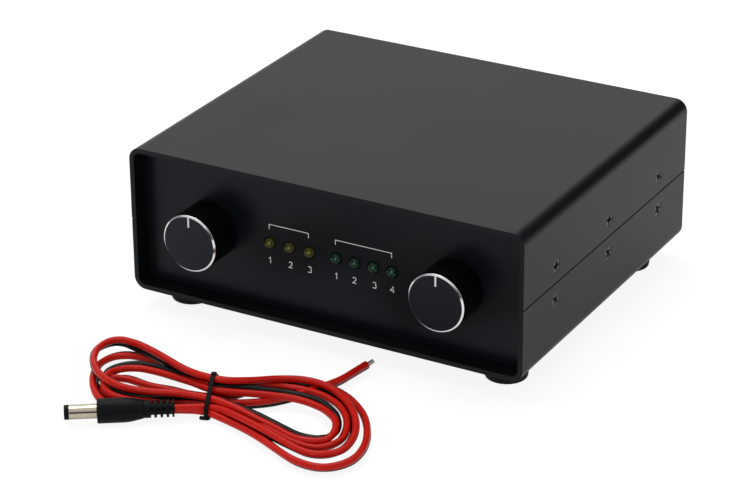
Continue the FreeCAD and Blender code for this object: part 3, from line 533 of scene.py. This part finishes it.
# the lead's control points from the plug to its bare end: x, y, height, and how the red wire lies
# in degrees about the pair's line, where 0 is to the left of the way the lead runs, 90 is on top.
# The heights don't stack the turns clear of each other: where turns cross, their wires overlap
LEAD_ROUTE = (
    # from the plug to the tie
    (-20.7, -143.7, 4.8, 155), (-16.7, -140.5, 4.7, 155),
    # 1st lobe, right
    (-8.6, -134.6, 3.9, 147), (1.6, -138.4, 4.7, 123), (11.2, -141.6, 5.2, 121),
    (21.2, -144.8, 5.2, 121), (30.9, -148.1, 5.2, 134), (41.4, -150.7, 5.2, 143),
    (49.2, -144.5, 5.2, 146), (48.5, -133.7, 5.2, 123), (44.3, -124.4, 5.2, 106),
    (38.4, -115.8, 5.2, 81), (30.5, -108.9, 5.2, 69), (21.3, -104.2, 5.2, 69),
    (10.7, -103.7, 5.1, 64), (2.2, -109.4, 5.9, 57), (-2.7, -118.3, 8.3, 42),
    (-8.2, -126.9, 11.1, 33),
    # 2nd lobe, left, lies over the others
    (-18, -128.7, 11.4, 43), (-27.7, -124.9, 9.3, 59), (-36.6, -119.9, 7.7, 68),
    (-46.3, -115.8, 7.1, 75), (-56.1, -113.1, 7.2, 78), (-66.9, -112, 7.2, 50),
    (-70, -121.3, 7.2, 44), (-65.2, -131, 7.2, 84), (-58.1, -138.3, 7.2, 111),
    (-49.2, -143.9, 7.2, 99), (-38.9, -145.4, 7.2, 95), (-29.2, -141.7, 7.2, 114),
    (-20.3, -136.4, 6.8, 134),
    # 3rd lobe, right, the smallest
    (-10.2, -133.6, 6.4, 143), (0, -134.1, 6, 156), (10.3, -135.8, 5.1, 171),
    (20.3, -138, 4.6, 167), (30.5, -141.3, 4.6, 174), (40, -138.3, 4.6, 166),
    (38.9, -127.6, 4.6, 87), (32.4, -119.5, 4.6, 20), (23.4, -115.1, 4.6, -6),
    (13.2, -114.7, 4.7, -7), (4.1, -119.2, 5.9, -9), (-4.3, -125.2, 7.7, -19),
    (-12.7, -130.3, 8.8, -8),
    # 4th lobe, left
    (-22.1, -127.1, 7.5, 5), (-31.8, -123.5, 5.5, 1), (-41.6, -121, 4.5, -6),
    (-52.4, -121.9, 4.4, -8), (-58.5, -129.9, 4.4, 14), (-54.8, -139.9, 4.4, 94),
    (-46.6, -146.5, 4.4, 142), (-36.4, -145.3, 4.4, 157), (-28.1, -138.7, 3.8, 153),
    (-20.4, -132, 2.9, 156),
    # 5th lobe, right
    (-10.5, -128.4, 3.0, 150), (-0.4, -130.9, 3.1, 141), (8.8, -135.6, 3.4, 142),
    (18.6, -139.3, 3.4, 144), (28.3, -142.7, 3.4, 146), (39, -143.4, 3.4, 156),
    (44.1, -134.8, 3.4, 137), (40.8, -124.5, 3.4, 104), (35.4, -115.9, 3.4, 69),
    (27.3, -109.2, 3.4, 41), (17.3, -106.3, 3.4, 30), (7, -107.4, 3.5, 25),
    (-1.7, -113.2, 4.7, 27), (-7.7, -121.3, 6.9, 26),
    # 6th lobe, left, the widest
    (-15.6, -128.1, 8.1, 33), (-25.1, -124.7, 6, 45), (-33.5, -119, 3.8, 43),
    (-42.9, -114.2, 2.9, 33), (-52.8, -112.2, 2.9, 20), (-63.5, -114.4, 2.9, 17),
    (-66.9, -123.6, 2.9, 41), (-63, -133.7, 2.9, 94), (-57, -141.8, 2.9, 128),
    (-49.2, -149.1, 2.9, 144), (-39.3, -151.3, 2.9, 153), (-29.6, -146.9, 2.9, 155),
    (-21, -141.2, 2.8, 155), (-11.7, -136.6, 2.6, 153),
    # 7th lobe, right, the longest
    (-1.4, -138.5, 2.2, 146), (8.5, -141.4, 2.5, 145), (18.2, -145.3, 2.7, 140),
    (27.5, -149.9, 2.7, 134), (37.2, -153.8, 2.7, 136), (47.6, -153.3, 2.7, 144),
    (53.8, -144.9, 2.7, 133), (53.3, -134.5, 2.7, 109), (49.5, -124.8, 2.7, 90),
    (44, -116, 2.7, 81), (36.9, -108.4, 2.7, 58), (28.2, -102.5, 2.7, 39), (18.4, -99.4, 2.7, 30),
    (8.1, -101.6, 2.7, 24), (0.3, -108.4, 2.7, 28), (-5.4, -117.1, 2.7, 27),
    (-10.7, -126, 2.7, 47),
    # 8th lobe, left, under the others
    (-20.6, -128.8, 2.7, 37), (-31.2, -129.3, 2.7, 24), (-41.2, -130.8, 2.7, 32),
    (-52.4, -129.2, 2.7, 22), (-57.8, -135.4, 2.7, 59), (-50.5, -144.5, 2.7, 143),
    (-40.6, -145.2, 2.7, 153), (-31.1, -140.5, 2.7, 156), (-22.1, -135.5, 2.7, 151),
    # the loose end
    (-12.3, -131.9, 3.0, 131), (-3.4, -127.0, 2.7, 130), (5.1, -120.6, 2.6, 128),
    (10.9, -112.3, 2.6, 124), (15.3, -103.3, 2.6, 134), (19.8, -94.1, 2.6, 132),
    (21.2, -83.7, 2.6, 129), (22, -78.6, 2.6, 129),
)


def spline_line(name, points):
    """A NURBS curve of the second degree between its ends, as points close together."""
    data = bpy.data.curves.new(name, "CURVE")
    data.dimensions = "3D"
    spline = data.splines.new("NURBS")
    spline.points.add(len(points) - 1)
    for point, (x, y, z) in zip(spline.points, points * MM):
        point.co = (x, y, z, 1)
    spline.order_u = 3
    spline.use_endpoint_u = True
    spline.resolution_u = 10
    bare = bpy.data.objects.new(name, data)
    mesh = bpy.data.meshes.new_from_object(bare)
    line = np.array([v.co for v in mesh.vertices]) / MM
    bpy.data.meshes.remove(mesh)
    bpy.data.objects.remove(bare)
    bpy.data.curves.remove(data)
    return line


def along_route(line, values):
    """A value at each control point, carried to the line's points: control point k of a
    second-degree spline acts most half a span before knot k."""
    count = len(values)
    acts = np.clip(np.arange(count) - 0.5, 0, count - 2)
    return np.interp(np.linspace(0, count - 2, len(line)), acts, values)


def frames_of(line):
    """The line's direction, and the level and the upright direction square to it, at each point."""
    ahead = np.gradient(line, axis=0)
    ahead /= np.linalg.norm(ahead, axis=1)[:, None]
    left = np.cross(Z, ahead)
    left /= np.linalg.norm(left, axis=1)[:, None]
    return ahead, left, np.cross(ahead, left)


def tube(line, diameter, columns=14):
    """A round tube: line + radius * (cos a * left + sin a * up), closed to a point at its ends."""
    _, left, up = frames_of(line)
    angle = np.linspace(0, TURN, columns, endpoint=False)
    pick = np.concatenate([[0], np.arange(len(line)), [len(line) - 1]])
    radius = np.full(len(pick), diameter / 2)
    radius[[0, -1]] = 0
    cos, sin = (wave(angle)[None, :, None] for wave in (np.cos, np.sin))
    spoke = cos * left[pick, None] + sin * up[pick, None]
    points = line[pick, None] + radius[:, None, None] * spoke
    return points.reshape(-1, 3), quads(len(pick), columns)


def power_lead():
    """Red and black twin wire: two tubes side by side that roll slowly about their common line."""
    route = np.array(LEAD_ROUTE)
    line = spline_line("lead_line", route[:, :3])
    roll = np.radians(along_route(line, route[:, 3]))[:, None]
    ahead, left, up = frames_of(line)
    red_way = np.cos(roll) * left + np.sin(roll) * up
    red = tube(line + red_way * WIRE / 2, WIRE)
    black_line = line - red_way * WIRE / 2
    black = tube(np.vstack([black_line, black_line[-1] + LONGER * ahead[-1]]), WIRE)
    made = piece("power_lead", [(*red, RED_VINYL), (*black, BLACK_VINYL)], "lead_hank",
                 ("lead_hank", "lead_tail"), 50)
    return made, line, red_way[-1]


def on_plug(distance):
    """A point on the plug's axis, this far from where the lead enters it."""
    return PLUG_END + PLUG_HEADING / np.linalg.norm(PLUG_HEADING) * distance


def power_plug():
    """The moulded plug: a relief slotted on two sides, and a grip that widens to a flat end."""
    relief, body, rib, slots = 11.0, 17.0, 2.2, 4
    radius, slot_deep = 3.3, 1.5
    slot_middle, slot_half = 0.6, 0.26      # shares of a rib
    bridge = 0.3                            # sine of half the angle of a bridge beside the slots
    columns = 72
    along = np.linspace(0, relief, 120)[:, None]
    angle = np.linspace(0, TURN, columns, endpoint=False)[None]
    number = np.floor(along / rib)
    in_slot = np.abs(along / rib - number - slot_middle) < slot_half
    facing = np.abs(np.sin(angle)) > bridge
    radii = radius - slot_deep * (in_slot & facing & (number < slots))
    radii = np.concatenate([np.zeros((1, columns)), radii, np.zeros((1, columns))])
    steps = np.concatenate([[0], along[:, 0], [relief]])
    comb = turned(radii, steps, on_plug(0), PLUG_HEADING)
    grip = lathe([(0, 0, 0), (3.4, 0, 0.5), (4.6, 5.6, 2.0), (4.6, body, 0.4), (3.6, body, 0),
                  (0, body, 0)], on_plug(relief), PLUG_HEADING)
    piece("power_plug", [(*comb, PLUG_VINYL), (*grip, PLUG_VINYL)], "lead_plug",
          ("lead_plug",), 40)


def plug_sleeve():
    """The plug's plated sleeve, and its black insulating collar with the bore for the pin."""
    start, length, tip = 28.0, 10.2, 1.8
    outside, bore, pin_bore = 2.75, 2.1, 1.05
    sleeve = lathe([(bore, 0, 0), (outside, 0, 0.1), (outside, length, 0.1), (bore, length, 0),
                    (bore, 0, 0)], on_plug(start), PLUG_HEADING, 48)
    piece("plug_sleeve", [(*sleeve, SLEEVE)], "plug_barrel", ("plug_barrel",))
    end = length + tip
    collar = lathe([(pin_bore, 0, 0), (bore, 0, 0), (bore, length, 0), (outside, length, 0.1),
                    (outside, end, 0.4), (pin_bore, end, 0.2), (pin_bore, 0, 0)],
                   on_plug(start), PLUG_HEADING, 48)
    piece("plug_collar", [(*collar, PLUG_VINYL)], "plug_tip", ("plug_tip",))


def cable_tie():
    """A thin tie drawn round the bundle: a flat band along a rounded outline across it, the
    small lock at its foot and the folded end on top."""
    ahead = np.array((math.cos(TIE_TURN), math.sin(TIE_TURN), 0))
    sideways = np.cross(Z, ahead)
    low, past, core = 0.33, 0.65, 6     # the band's foot, its shift along, a height in the bundle
    thick, wide, soft = 0.3, 0.85, 0.2      # half the band's thickness and width, its edges
    corners = softened([(0.0, low, 0), (-8.8, low, 2.4), (-9.1, 5.8, 1.8), (2.7, 13.9, 1.6),
                        (6.7, 11.6, 1.2), (8.9, 7.2, 1.6), (7.8, low, 1.6), (0.0, low, 0)], 6)
    middle = TIE + past * ahead
    loop = middle + corners[:, :1] * sideways + corners[:, 1:] * Z
    outwards = np.cross(ahead, np.gradient(loop, axis=0))
    outwards *= np.sign(np.sum(outwards * (loop - middle - core * Z), axis=1))[:, None]
    outwards /= np.linalg.norm(outwards, axis=1)[:, None]
    outline = softened([(thick, 0, 0), (thick, wide, soft), (-thick, wide, soft),
                        (-thick, -wide, soft), (thick, -wide, soft), (thick, 0, 0)], 3)[:-1]
    band = loop[:, None] + outline[None, :, :1] * outwards[:, None] + outline[None, :, 1:] * ahead
    parts = [(band.reshape(-1, 3), quads(len(band), len(outline)), PLUG_VINYL)]
    for place, size in (((-0.8, -8.9, 1.6), (3.6, 1.3, 1.4)), ((0.1, 3.1, 13.75), (2.1, 2.0, 1.1))):
        points, faces = rounded_block(place, size, 0.5)
        parts.append((middle + points @ np.array((ahead, sideways, Z)), faces, PLUG_VINYL))
    piece("cable_tie", parts, "lead_tie", ("lead_tie",), 40)


def bare_ends(line, red_way):
    """The two stripped ends, the red wire's tinned and the black wire's bare copper: strands
    laid in a slow helix, cut off square."""
    columns, length, radius = 28, 4.0, 0.6
    groove, strands, lay = 0.07, 3.5, 1.1   # depth, grooves in half a turn, radians per mm
    angle = np.linspace(0, TURN, columns, endpoint=False)[None]
    along = np.linspace(0, length, 26)[:, None]
    radii = radius - groove * np.abs(np.sin(strands * (angle - along * lay)))
    rows = [(0, 0), *zip(radii, along), (0, length)]
    ahead = frames_of(line)[0][-1]
    parts = [(*turned_rows(rows, line[-1] + offset * red_way + past * ahead, ahead, columns), metal)
             for offset, past, metal in ((WIRE / 2, 0, TINNED), (-WIRE / 2, LONGER, COPPER))]
    piece("bare_ends", parts, "wire_ends", ("wire_ends",), 50)


# ---------------- knobs
def knob(kind):
    """A turned knob: faced front, bright-cut bevel, plain side, skirt behind, white pointer. The
    side wears a darker, less glossy copy of the face's anodising, which is painted shade.
    """
    node = kind + "_knob"
    low, high = limits(node)
    centre = (low + high) / 2
    face = np.array([centre[0], low[1], centre[2]])
    radius = (high[0] - low[0]) / 2
    length = high[1] - low[1]
    bevel, deep = 0.65, 0.45
    land = deep + 0.25                      # where the bright cut ends on the side
    skirt, hollow = 8.5, 5                  # the skirt's inner radius and depth
    faced = anodised_black(kind + "_anodised_face", face, "#101318", 0.24)
    # painted shade: the side is a darker, less glossy copy of the face's anodising
    plain = anodised_black(kind + "_anodised_side_painted_shade", face, "#060709", 0.1)
    bright = bright_cut(kind + "_bright_cut", face)
    front = turned(np.linspace(0, radius - bevel, 12), np.zeros(12), face, Y, 96)
    rim = softened([(radius - bevel, 0, 0), (radius, deep, 0.12), (radius, land, 0)])
    ring = turned(rim[:, 0], rim[:, 1], face, Y, 96)
    side = lathe([(radius, land, 0), (radius, length, 0.25), (skirt, length, 0.2),
                  (skirt, length - hollow, 0), (0, length - hollow, 0)], face, Y, 96)
    piece(kind + "_knob_turned", [(*front, faced), (*ring, bright), (*side, plain)], node,
          (node,), 25)
    pointer_length, width, thick, proud, rim_gap = 4.2, 0.72, 0.2, 0.03, 0.62
    points, faces = rounded_block((0, 0, 0), (width, pointer_length, thick), 0.02)
    middle = face + (0, thick / 2 - proud, radius - rim_gap - pointer_length / 2)
    piece(kind + "_pointer", [(points[:, [0, 2, 1]] + middle, faces, INK)], node)


# ---------------- lamps and print
LAMP = 5.0
DIE_GLINT_X, DIE_GLINT_Z = 0.7, 0.6     # how far the painted highlight over the chip's cup stands off the lamp's line
PRINT_WIDTH = 0.26


def lamp_lenses(kind, count, material):
    """Round-nosed lamps. Nose: radius = r * cos b, along = depth * (1 - sin b). A point attribute
    is 1 at a painted highlight over the chip's cup, a little off the lamp's line, and falls evenly
    to 0 at its edge, where the epoxy's colour is painted shade."""
    node = kind + "_lamps"
    low, high = limits(node)
    nose, level = 2.0, (low[2] + high[2]) / 2
    b = np.linspace(np.pi / 2, 0, 14)
    radii = np.concatenate([LAMP / 2 * np.cos(b), [LAMP / 2, 0]])
    steps = np.concatenate([nose * (1 - np.sin(b)), [high[1] - low[1]] * 2])
    centres = row_of(node, count, LAMP)
    parts = [(*turned(radii, steps, (x, low[1], level), Y, 40), material) for x in centres]
    made = piece(kind + "_lenses", parts, node, (node,), 40)
    where = np.empty(len(made.data.vertices) * 3, np.float32)
    made.data.vertices.foreach_get("co", where)
    where = where.reshape(-1, 3) / MM
    nearest = centres[np.abs(where[:, :1] - centres).argmin(axis=1)]
    off = np.hypot(where[:, 0] - nearest - DIE_GLINT_X, where[:, 2] - level - DIE_GLINT_Z) / (LAMP / 2)
    # 1 at the painted highlight, down to 0 at the edge, where the epoxy's colour is painted shade
    painted_light_level = made.data.attributes.new("painted_light_level", "FLOAT", "POINT")
    painted_light_level.data.foreach_set("value", np.clip(1 - off, 0, 1).astype(np.float32))


def printed_line(points, y, width=PRINT_WIDTH):
    """A flat line of print through (x, z) points: at each point two edges, half a width to each
    side along the mitre, a hair in front of the panel and a hair inside it."""
    points = np.array(points, float)
    run = np.diff(points, axis=0)
    run /= np.linalg.norm(run, axis=1)[:, None]
    normal = np.stack([-run[:, 1], run[:, 0]], axis=1)
    mitre = np.concatenate([normal[:1], normal[:-1] + normal[1:], normal[-1:]])
    mitre /= np.linalg.norm(mitre, axis=1)[:, None]
    reach = np.maximum(np.sum(mitre * np.concatenate([normal[:1], normal]), axis=1), 0.5)
    side = mitre * (width / 2 / reach)[:, None]
    proud, sunk = 0.03, 0.02
    corners = [(points + side, y - proud), (points - side, y - proud),
               (points - side, y + sunk), (points + side, y + sunk)]
    rows = np.stack([np.insert(flat, 1, depth, axis=1) for flat, depth in corners], axis=1)
    last = 4 * len(points) - 4
    ends = [[0, 1, 2, 3], [last, last + 1, last + 2, last + 3]]
    return rows.reshape(-1, 3), np.concatenate([quads(len(points), 4), ends])


# the strokes of each number, one unit high, as (across, up, rounding) corners
NUMBERS = {
    "1": (((-0.2, 0.78, 0), (0.06, 1, 0), (0.06, 0, 0)),),
    "2": (((-0.27, 0.84, 0), (-0.15, 1, 0.12), (0.27, 1, 0.22), (0.25, 0.55, 0.2),
           (-0.3, 0.02, 0), (0.32, 0.02, 0)),),
    "3": (((-0.25, 0.93, 0), (-0.1, 1, 0.1), (0.27, 1, 0.2), (0.27, 0.54, 0.2), (-0.08, 0.54, 0)),
          ((-0.08, 0.54, 0), (0.32, 0.54, 0.22), (0.32, 0, 0.24), (-0.1, 0, 0.15),
           (-0.3, 0.07, 0))),
    "4": (((0.14, 0, 0), (0.14, 1, 0), (-0.36, 0.3, 0), (0.34, 0.3, 0)),),
}


def panel_print():
    """The numbers under the lamps and the two brackets over them, printed on the front panel."""
    panel_y = limits("front_panel")[0][1]
    base = limits("bottom_cover")[0][2]
    height, middle, stroke_width = 2.45, 21.9, 0.3      # of the numbers
    parts = []
    for text, x in [*zip("123", (-26.7, -17.6, -9.2)), *zip("1234", (2.6, 10.4, 19.0, 26.8))]:
        for stroke in NUMBERS[text]:
            line = softened(stroke) * height + (x, base + middle - height / 2)
            parts.append((*printed_line(line, panel_y, stroke_width), INK))
    for left, right, top, foot in ((-26.8, -9.5, 37.0, 35.0), (2.3, 26.5, 36.9, 34.9)):
        line = [(left, base + foot), (left, base + top), (right, base + top), (right, base + foot)]
        parts.append((*printed_line(line, panel_y), INK))
    piece("panel_print", parts, "front_panel", (), 60)


# ---------------- fasteners and feet
def cross_depth(x, y, reach, width, depth):
    """How deep a cross recess is at x, y: two arms, deepest on their middle lines and shallower
    towards their ends and sides."""
    def arm(u, v):
        sides = np.clip((width / 2 - np.abs(v)) / (0.25 * width), 0, 1)
        ends = np.clip((reach - np.abs(u)) / (0.5 * reach), 0, 1)
        return sides * ends
    return depth * np.maximum(arm(x, y), arm(y, x))


def screw(face, axis, head, rise, shank, length, turn=0.0):
    """A cross-recessed screw seen along axis: its head's face with the recess, its rim, and its
    shank. A head with no rise is countersunk."""
    columns, rings, rim, chamfer = 72, 20, 0.15, 0.4
    angle = np.linspace(0, TURN, columns, endpoint=False)[None]
    radii = np.linspace(0, head / 2 - rim, rings)[:, None]
    u, v = radii * np.cos(angle + turn), radii * np.sin(angle + turn)
    crown = rise * 0.25 * (radii / (head / 2)) ** 2
    top = crown + cross_depth(u, v, 0.4 * head, 0.24 * head, 0.4 * head)
    neck = rise if rise else (head - shank) / 2 + rim
    edge = [(head / 2, crown[-1, 0] + rim)] + ([(head / 2, rise)] if rise else [])
    edge += [(shank / 2, neck), (shank / 2, length - chamfer), (shank / 2 - chamfer, length),
             (0, length)]
    rows = [*zip(np.broadcast_to(radii, (rings, columns)), top), *edge]
    return turned_rows(rows, face, axis, columns)


def side_screws():
    """Twelve countersunk screws in the covers' sides, each turned to an angle of its own."""
    low, high = limits("side_screws")
    across = 5.5
    ys = np.linspace(low[1] + across / 2, high[1] - across / 2, 3)
    zs = (low[2] + across / 2, high[2] - across / 2)
    parts = []
    for i, (side, y, z) in enumerate((s, y, z) for s in (-1, 1) for y in ys for z in zs):
        face = (side * (high[0] - 0.12), y, z)
        parts.append((*screw(face, -side * X, across, 0, 3.0, 6.0, 0.9 * i), OXIDE))
    piece("side_screw_heads", parts, "side_screws", ("side_screws",), 30)


def foot_screws():
    """Pan-head screws up through the feet."""
    low, high = limits("foot_screws")
    across = 5.5
    places = [(x, y) for x in (low[0] + across / 2, high[0] - across / 2)
              for y in (low[1] + across / 2, high[1] - across / 2)]
    parts = [(*screw((x, y, low[2]), Z, across, 1.8, 3.0, high[2] - low[2], 0.7 * i), ZINC)
             for i, (x, y) in enumerate(places)]
    piece("foot_screw_heads", parts, "foot_screws", ("foot_screws",), 30)


def feet():
    """Four tapered rubber feet with a pocket for the screw's head."""
    low, high = limits("feet")
    across, height = 18.4, high[2] - low[2]
    bottom, bore, pocket, pocket_deep = 8.2, 1.7, 4.0, 3.2      # three radii and a depth
    parts = []
    for x in (low[0] + across / 2, high[0] - across / 2):
        for y in (low[1] + across / 2, high[1] - across / 2):
            solid = lathe([(bore, height, 0), (across / 2, height, 0.3), (bottom, 0, 0.9),
                           (pocket, 0, 0.4), (pocket, pocket_deep, 0.2), (bore, pocket_deep, 0),
                           (bore, height, 0)], (x, y, 0), Z, 56)
            parts.append((*solid, RUBBER))
    piece("rubber_feet", parts, "feet", ("feet",), 35)


# ---------------- rear sockets and power jack
FLANGE = 20.0       # a socket flange's width across flats


def four_cuts(angle, half):
    """True within half radians of four directions a quarter turn apart."""
    return np.abs((angle + np.pi / 4) % (np.pi / 2) - np.pi / 4) < half


def socket_shell(x, z, low, high):
    """A plated shell: hexagonal flange with turned-off corners, threaded barrel whose crest
    climbs one pitch each turn, notched rim, and bore. A hexagon's radius at angle a is half its
    width across flats over the cosine of a's distance from the nearest flat's middle."""
    panel = limits("rear_panel")[1][1]
    columns = 96
    angle = np.linspace(0, TURN, columns, endpoint=False)
    hexa = FLANGE / 2 / np.cos((angle + np.pi / 6) % (np.pi / 3) - np.pi / 6)
    corner, notch_deep, notch_half = 10.9, 1.1, 0.09
    corner_cut = np.minimum(hexa, corner)
    flange, pitch, crest, depth = 2.5, 1.06, 7.94, 0.5
    end, start = high[1] - panel, low[1] - panel
    steps = np.arange(flange + 0.6, end - 0.9, pitch / 8)
    phase = (steps[:, None] / pitch - angle[None] / TURN) % 1
    thread = crest - depth * np.abs(2 * phase - 1)
    notch = notch_deep * four_cuts(angle, notch_half)
    bore, rear, root = 6.2, 7.5, crest - depth
    rows = [(bore, start), (rear, start), (rear, 0), (hexa, 0), (hexa, flange - 0.5),
            (corner_cut, flange), (root, flange), (root, flange + 0.5), *zip(thread, steps),
            (root, end - 0.8), (root, end - 0.4), (root - 0.35, end - notch),
            (bore + 0.35, end - notch), (bore, end - 0.4 - notch), (bore, start)]
    return turned_rows(rows, (x, panel, z), Y, columns)


def slotted_contact(x, z, face):
    """A centre contact: a bored bar whose mouth is slit four ways."""
    length = face - limits("socket_contacts")[0][1]
    columns = 64
    angle = np.linspace(0, TURN, columns, endpoint=False)
    slit_deep, slit_half = 3.0, 0.11
    slit = slit_deep * four_cuts(angle, slit_half)
    outside, bore, deep = 2.8, 2.0, 12.0
    rows = [(0, length), (outside, length), (outside, slit + 0.2), (outside - 0.2, slit),
            (bore + 0.15, slit), (bore, slit + 0.15), (bore, deep), (0, deep)]
    return turned_rows(rows, (x, face, z), -Y, columns)


def sockets():
    """The seven coaxial sockets, their insulators and their slotted contacts."""
    face = limits("socket_insulators")[1][1]
    bore, ring_in, ring_out, outside, length = 2.85, 3.6, 5.4, 6.15, 15.8   # of a bush
    bushes, contacts = [], []
    for kind, count in (("antenna", 3), ("transceiver", 4)):
        node = kind + "_sockets"
        low, high = limits(node)
        z = (low[2] + high[2]) / 2
        shells = []
        for x in row_of(node, count, FLANGE):
            shells.append((*socket_shell(x, z, low, high), NICKEL))
            bush = lathe([(bore, 0, 0), (ring_in, 0, 0.1), (ring_in, 0.5, 0.1),
                          (ring_out, 0.5, 0.1), (ring_out, 0, 0.1), (outside, 0, 0.1),
                          (outside, length, 0), (bore, length, 0), (bore, 0, 0)],
                         (x, face, z), -Y, 48)
            bushes.append((*bush, PTFE))
            contacts.append((*slotted_contact(x, z, face), BRASS))
        piece(node + "_plated", shells, node, (node,), 28)
    piece("socket_bushes", bushes, "socket_insulators", ("socket_insulators",))
    piece("socket_centre_contacts", contacts, "socket_contacts",
          ("socket_contacts",))


def power_jack():
    """The round power jack: a moulded flange and bore, and its plated pin."""
    low, high = limits("power_jack")
    x, z = (low[0] + high[0]) / 2, (low[2] + high[2]) / 2
    deep = high[1] - low[1]
    solid = lathe([(1.1, deep, 0), (5.5, deep, 0.2), (5.5, 2.0, 0), (7.0, 2.0, 0), (7.0, 0, 0.5),
                   (2.8, 0, 0.3), (2.8, 10.0, 0), (1.1, 10.0, 0), (1.1, deep, 0)],
                  (x, high[1], z), -Y, 64)
    piece("power_jack_moulding", [(*solid, BLACK_MOULDING)], "power_jack",
          ("power_jack",))
    pin_low, pin_high = limits("power_jack_pin")
    length = pin_high[1] - pin_low[1]
    pin = lathe([(0, 0, 0), (1.05, 0, 0.6), (1.05, length, 0.1), (0, length, 0)],
                (x, pin_high[1], z), -Y, 32)
    piece("power_jack_contact", [(*pin, NICKEL)], "power_jack_pin",
          ("power_jack_pin",))


# ---------------- the whole object
COAT = powder_coat()
ENAMEL = panel_enamel()
INK = screen_print()
RUBBER = moulded_rubber()
OXIDE = black_oxide()
NICKEL = plated("bright_nickel", "#b9b4aa", "#d8d4cb", 0.14, 0.26)
ZINC = plated("zinc_plate", "#9a9da1", "#b2b5b9", 0.28, 0.42)
BRASS = plated("turned_brass", "#b8934e", "#d0ac66", 0.22, 0.34)
TINNED = plated("tinned_copper", "#b9bab5", "#d2d2cd", 0.45, 0.6)
COPPER = plated("bare_copper", "#b3987c", "#cdb498", 0.45, 0.6)
SLEEVE = plated("sleeve_nickel", "#a89f8f", "#c8bfae", 0.07, 0.13)
PTFE = moulding("white_insulation", "#d9d5c8", "#e6e3d8", 0.4)
BLACK_MOULDING = moulding("black_moulding", "#121213", "#1a1a1b")
PLUG_VINYL = moulding("plug_vinyl", "#050608", "#0a0b0e", 0.45, 0.09)
RED_VINYL = soft_vinyl("red_vinyl", "#b81409", "#cb1c0e")
BLACK_VINYL = soft_vinyl("black_vinyl", "#060608", "#0a0a0c")
# lamp epoxies as edge, body and spot colours: the edge is painted shade, the spot a painted
# highlight
YELLOW_LENS = tinted_epoxy("yellow_epoxy", "#0d0d02", "#3a3a08", "#8c8c40")
GREEN_LENS = tinted_epoxy("green_epoxy", "#010a06", "#06291b", "#3f8068")

# finishes of the pieces that keep their own solid
KEPT = {
    "zinc_steel": ZINC,
    "black_steel": OXIDE,
    "circuit_board": moulding("solder_mask", "#123a1e", "#1a4a28", 0.35),
    "white_nylon": moulding("white_nylon", "#cfccc2", "#dedbd2", 0.5),
    "relay_case": moulding("relay_case", "#19191c", "#222226", 0.4),
    "black_moulding": BLACK_MOULDING,
    "capacitor_can": moulding("capacitor_sleeve", "#10142a", "#1a2040", 0.3),
    "grey_ribbon": moulding("grey_ribbon", "#86868a", "#9a9a9e", 0.5),
    "switch_zinc": plated("die_cast_zinc", "#8b8c8c", "#a3a4a4", 0.36, 0.5),
    "switch_laminate": moulding("switch_laminate", "#5c3a20", "#74492a", 0.5),
    "shaft_brass": BRASS,
    "nickel_plate": NICKEL,
    "wire_copper": plated("hook_up_copper", "#b87243", "#cf8a58", 0.3, 0.42),
}

camera()
studio()
floor()

for row in frame["record"]["subparts"]:
    if row["material_slot"] in KEPT:
        mesh = nodes[row["node"]].data
        mesh.materials.clear()
        mesh.materials.append(KEPT[row["material_slot"]])

for name in ("top_cover", "bottom_cover"):
    finished_copy(name + "_coated", name, COAT, 0.25)
for name in ("front_panel", "rear_panel"):
    finished_copy(name + "_enamelled", name, ENAMEL, 0.15)
for name in ("antenna", "transceiver"):
    knob(name)
lamp_lenses("antenna", 3, YELLOW_LENS)
lamp_lenses("transceiver", 4, GREEN_LENS)
panel_print()
side_screws()
foot_screws()
feet()
sockets()
power_jack()

lead, lead_line, red_side = power_lead()
power_plug()
plug_sleeve()
cable_tie()
bare_ends(lead_line, red_side)
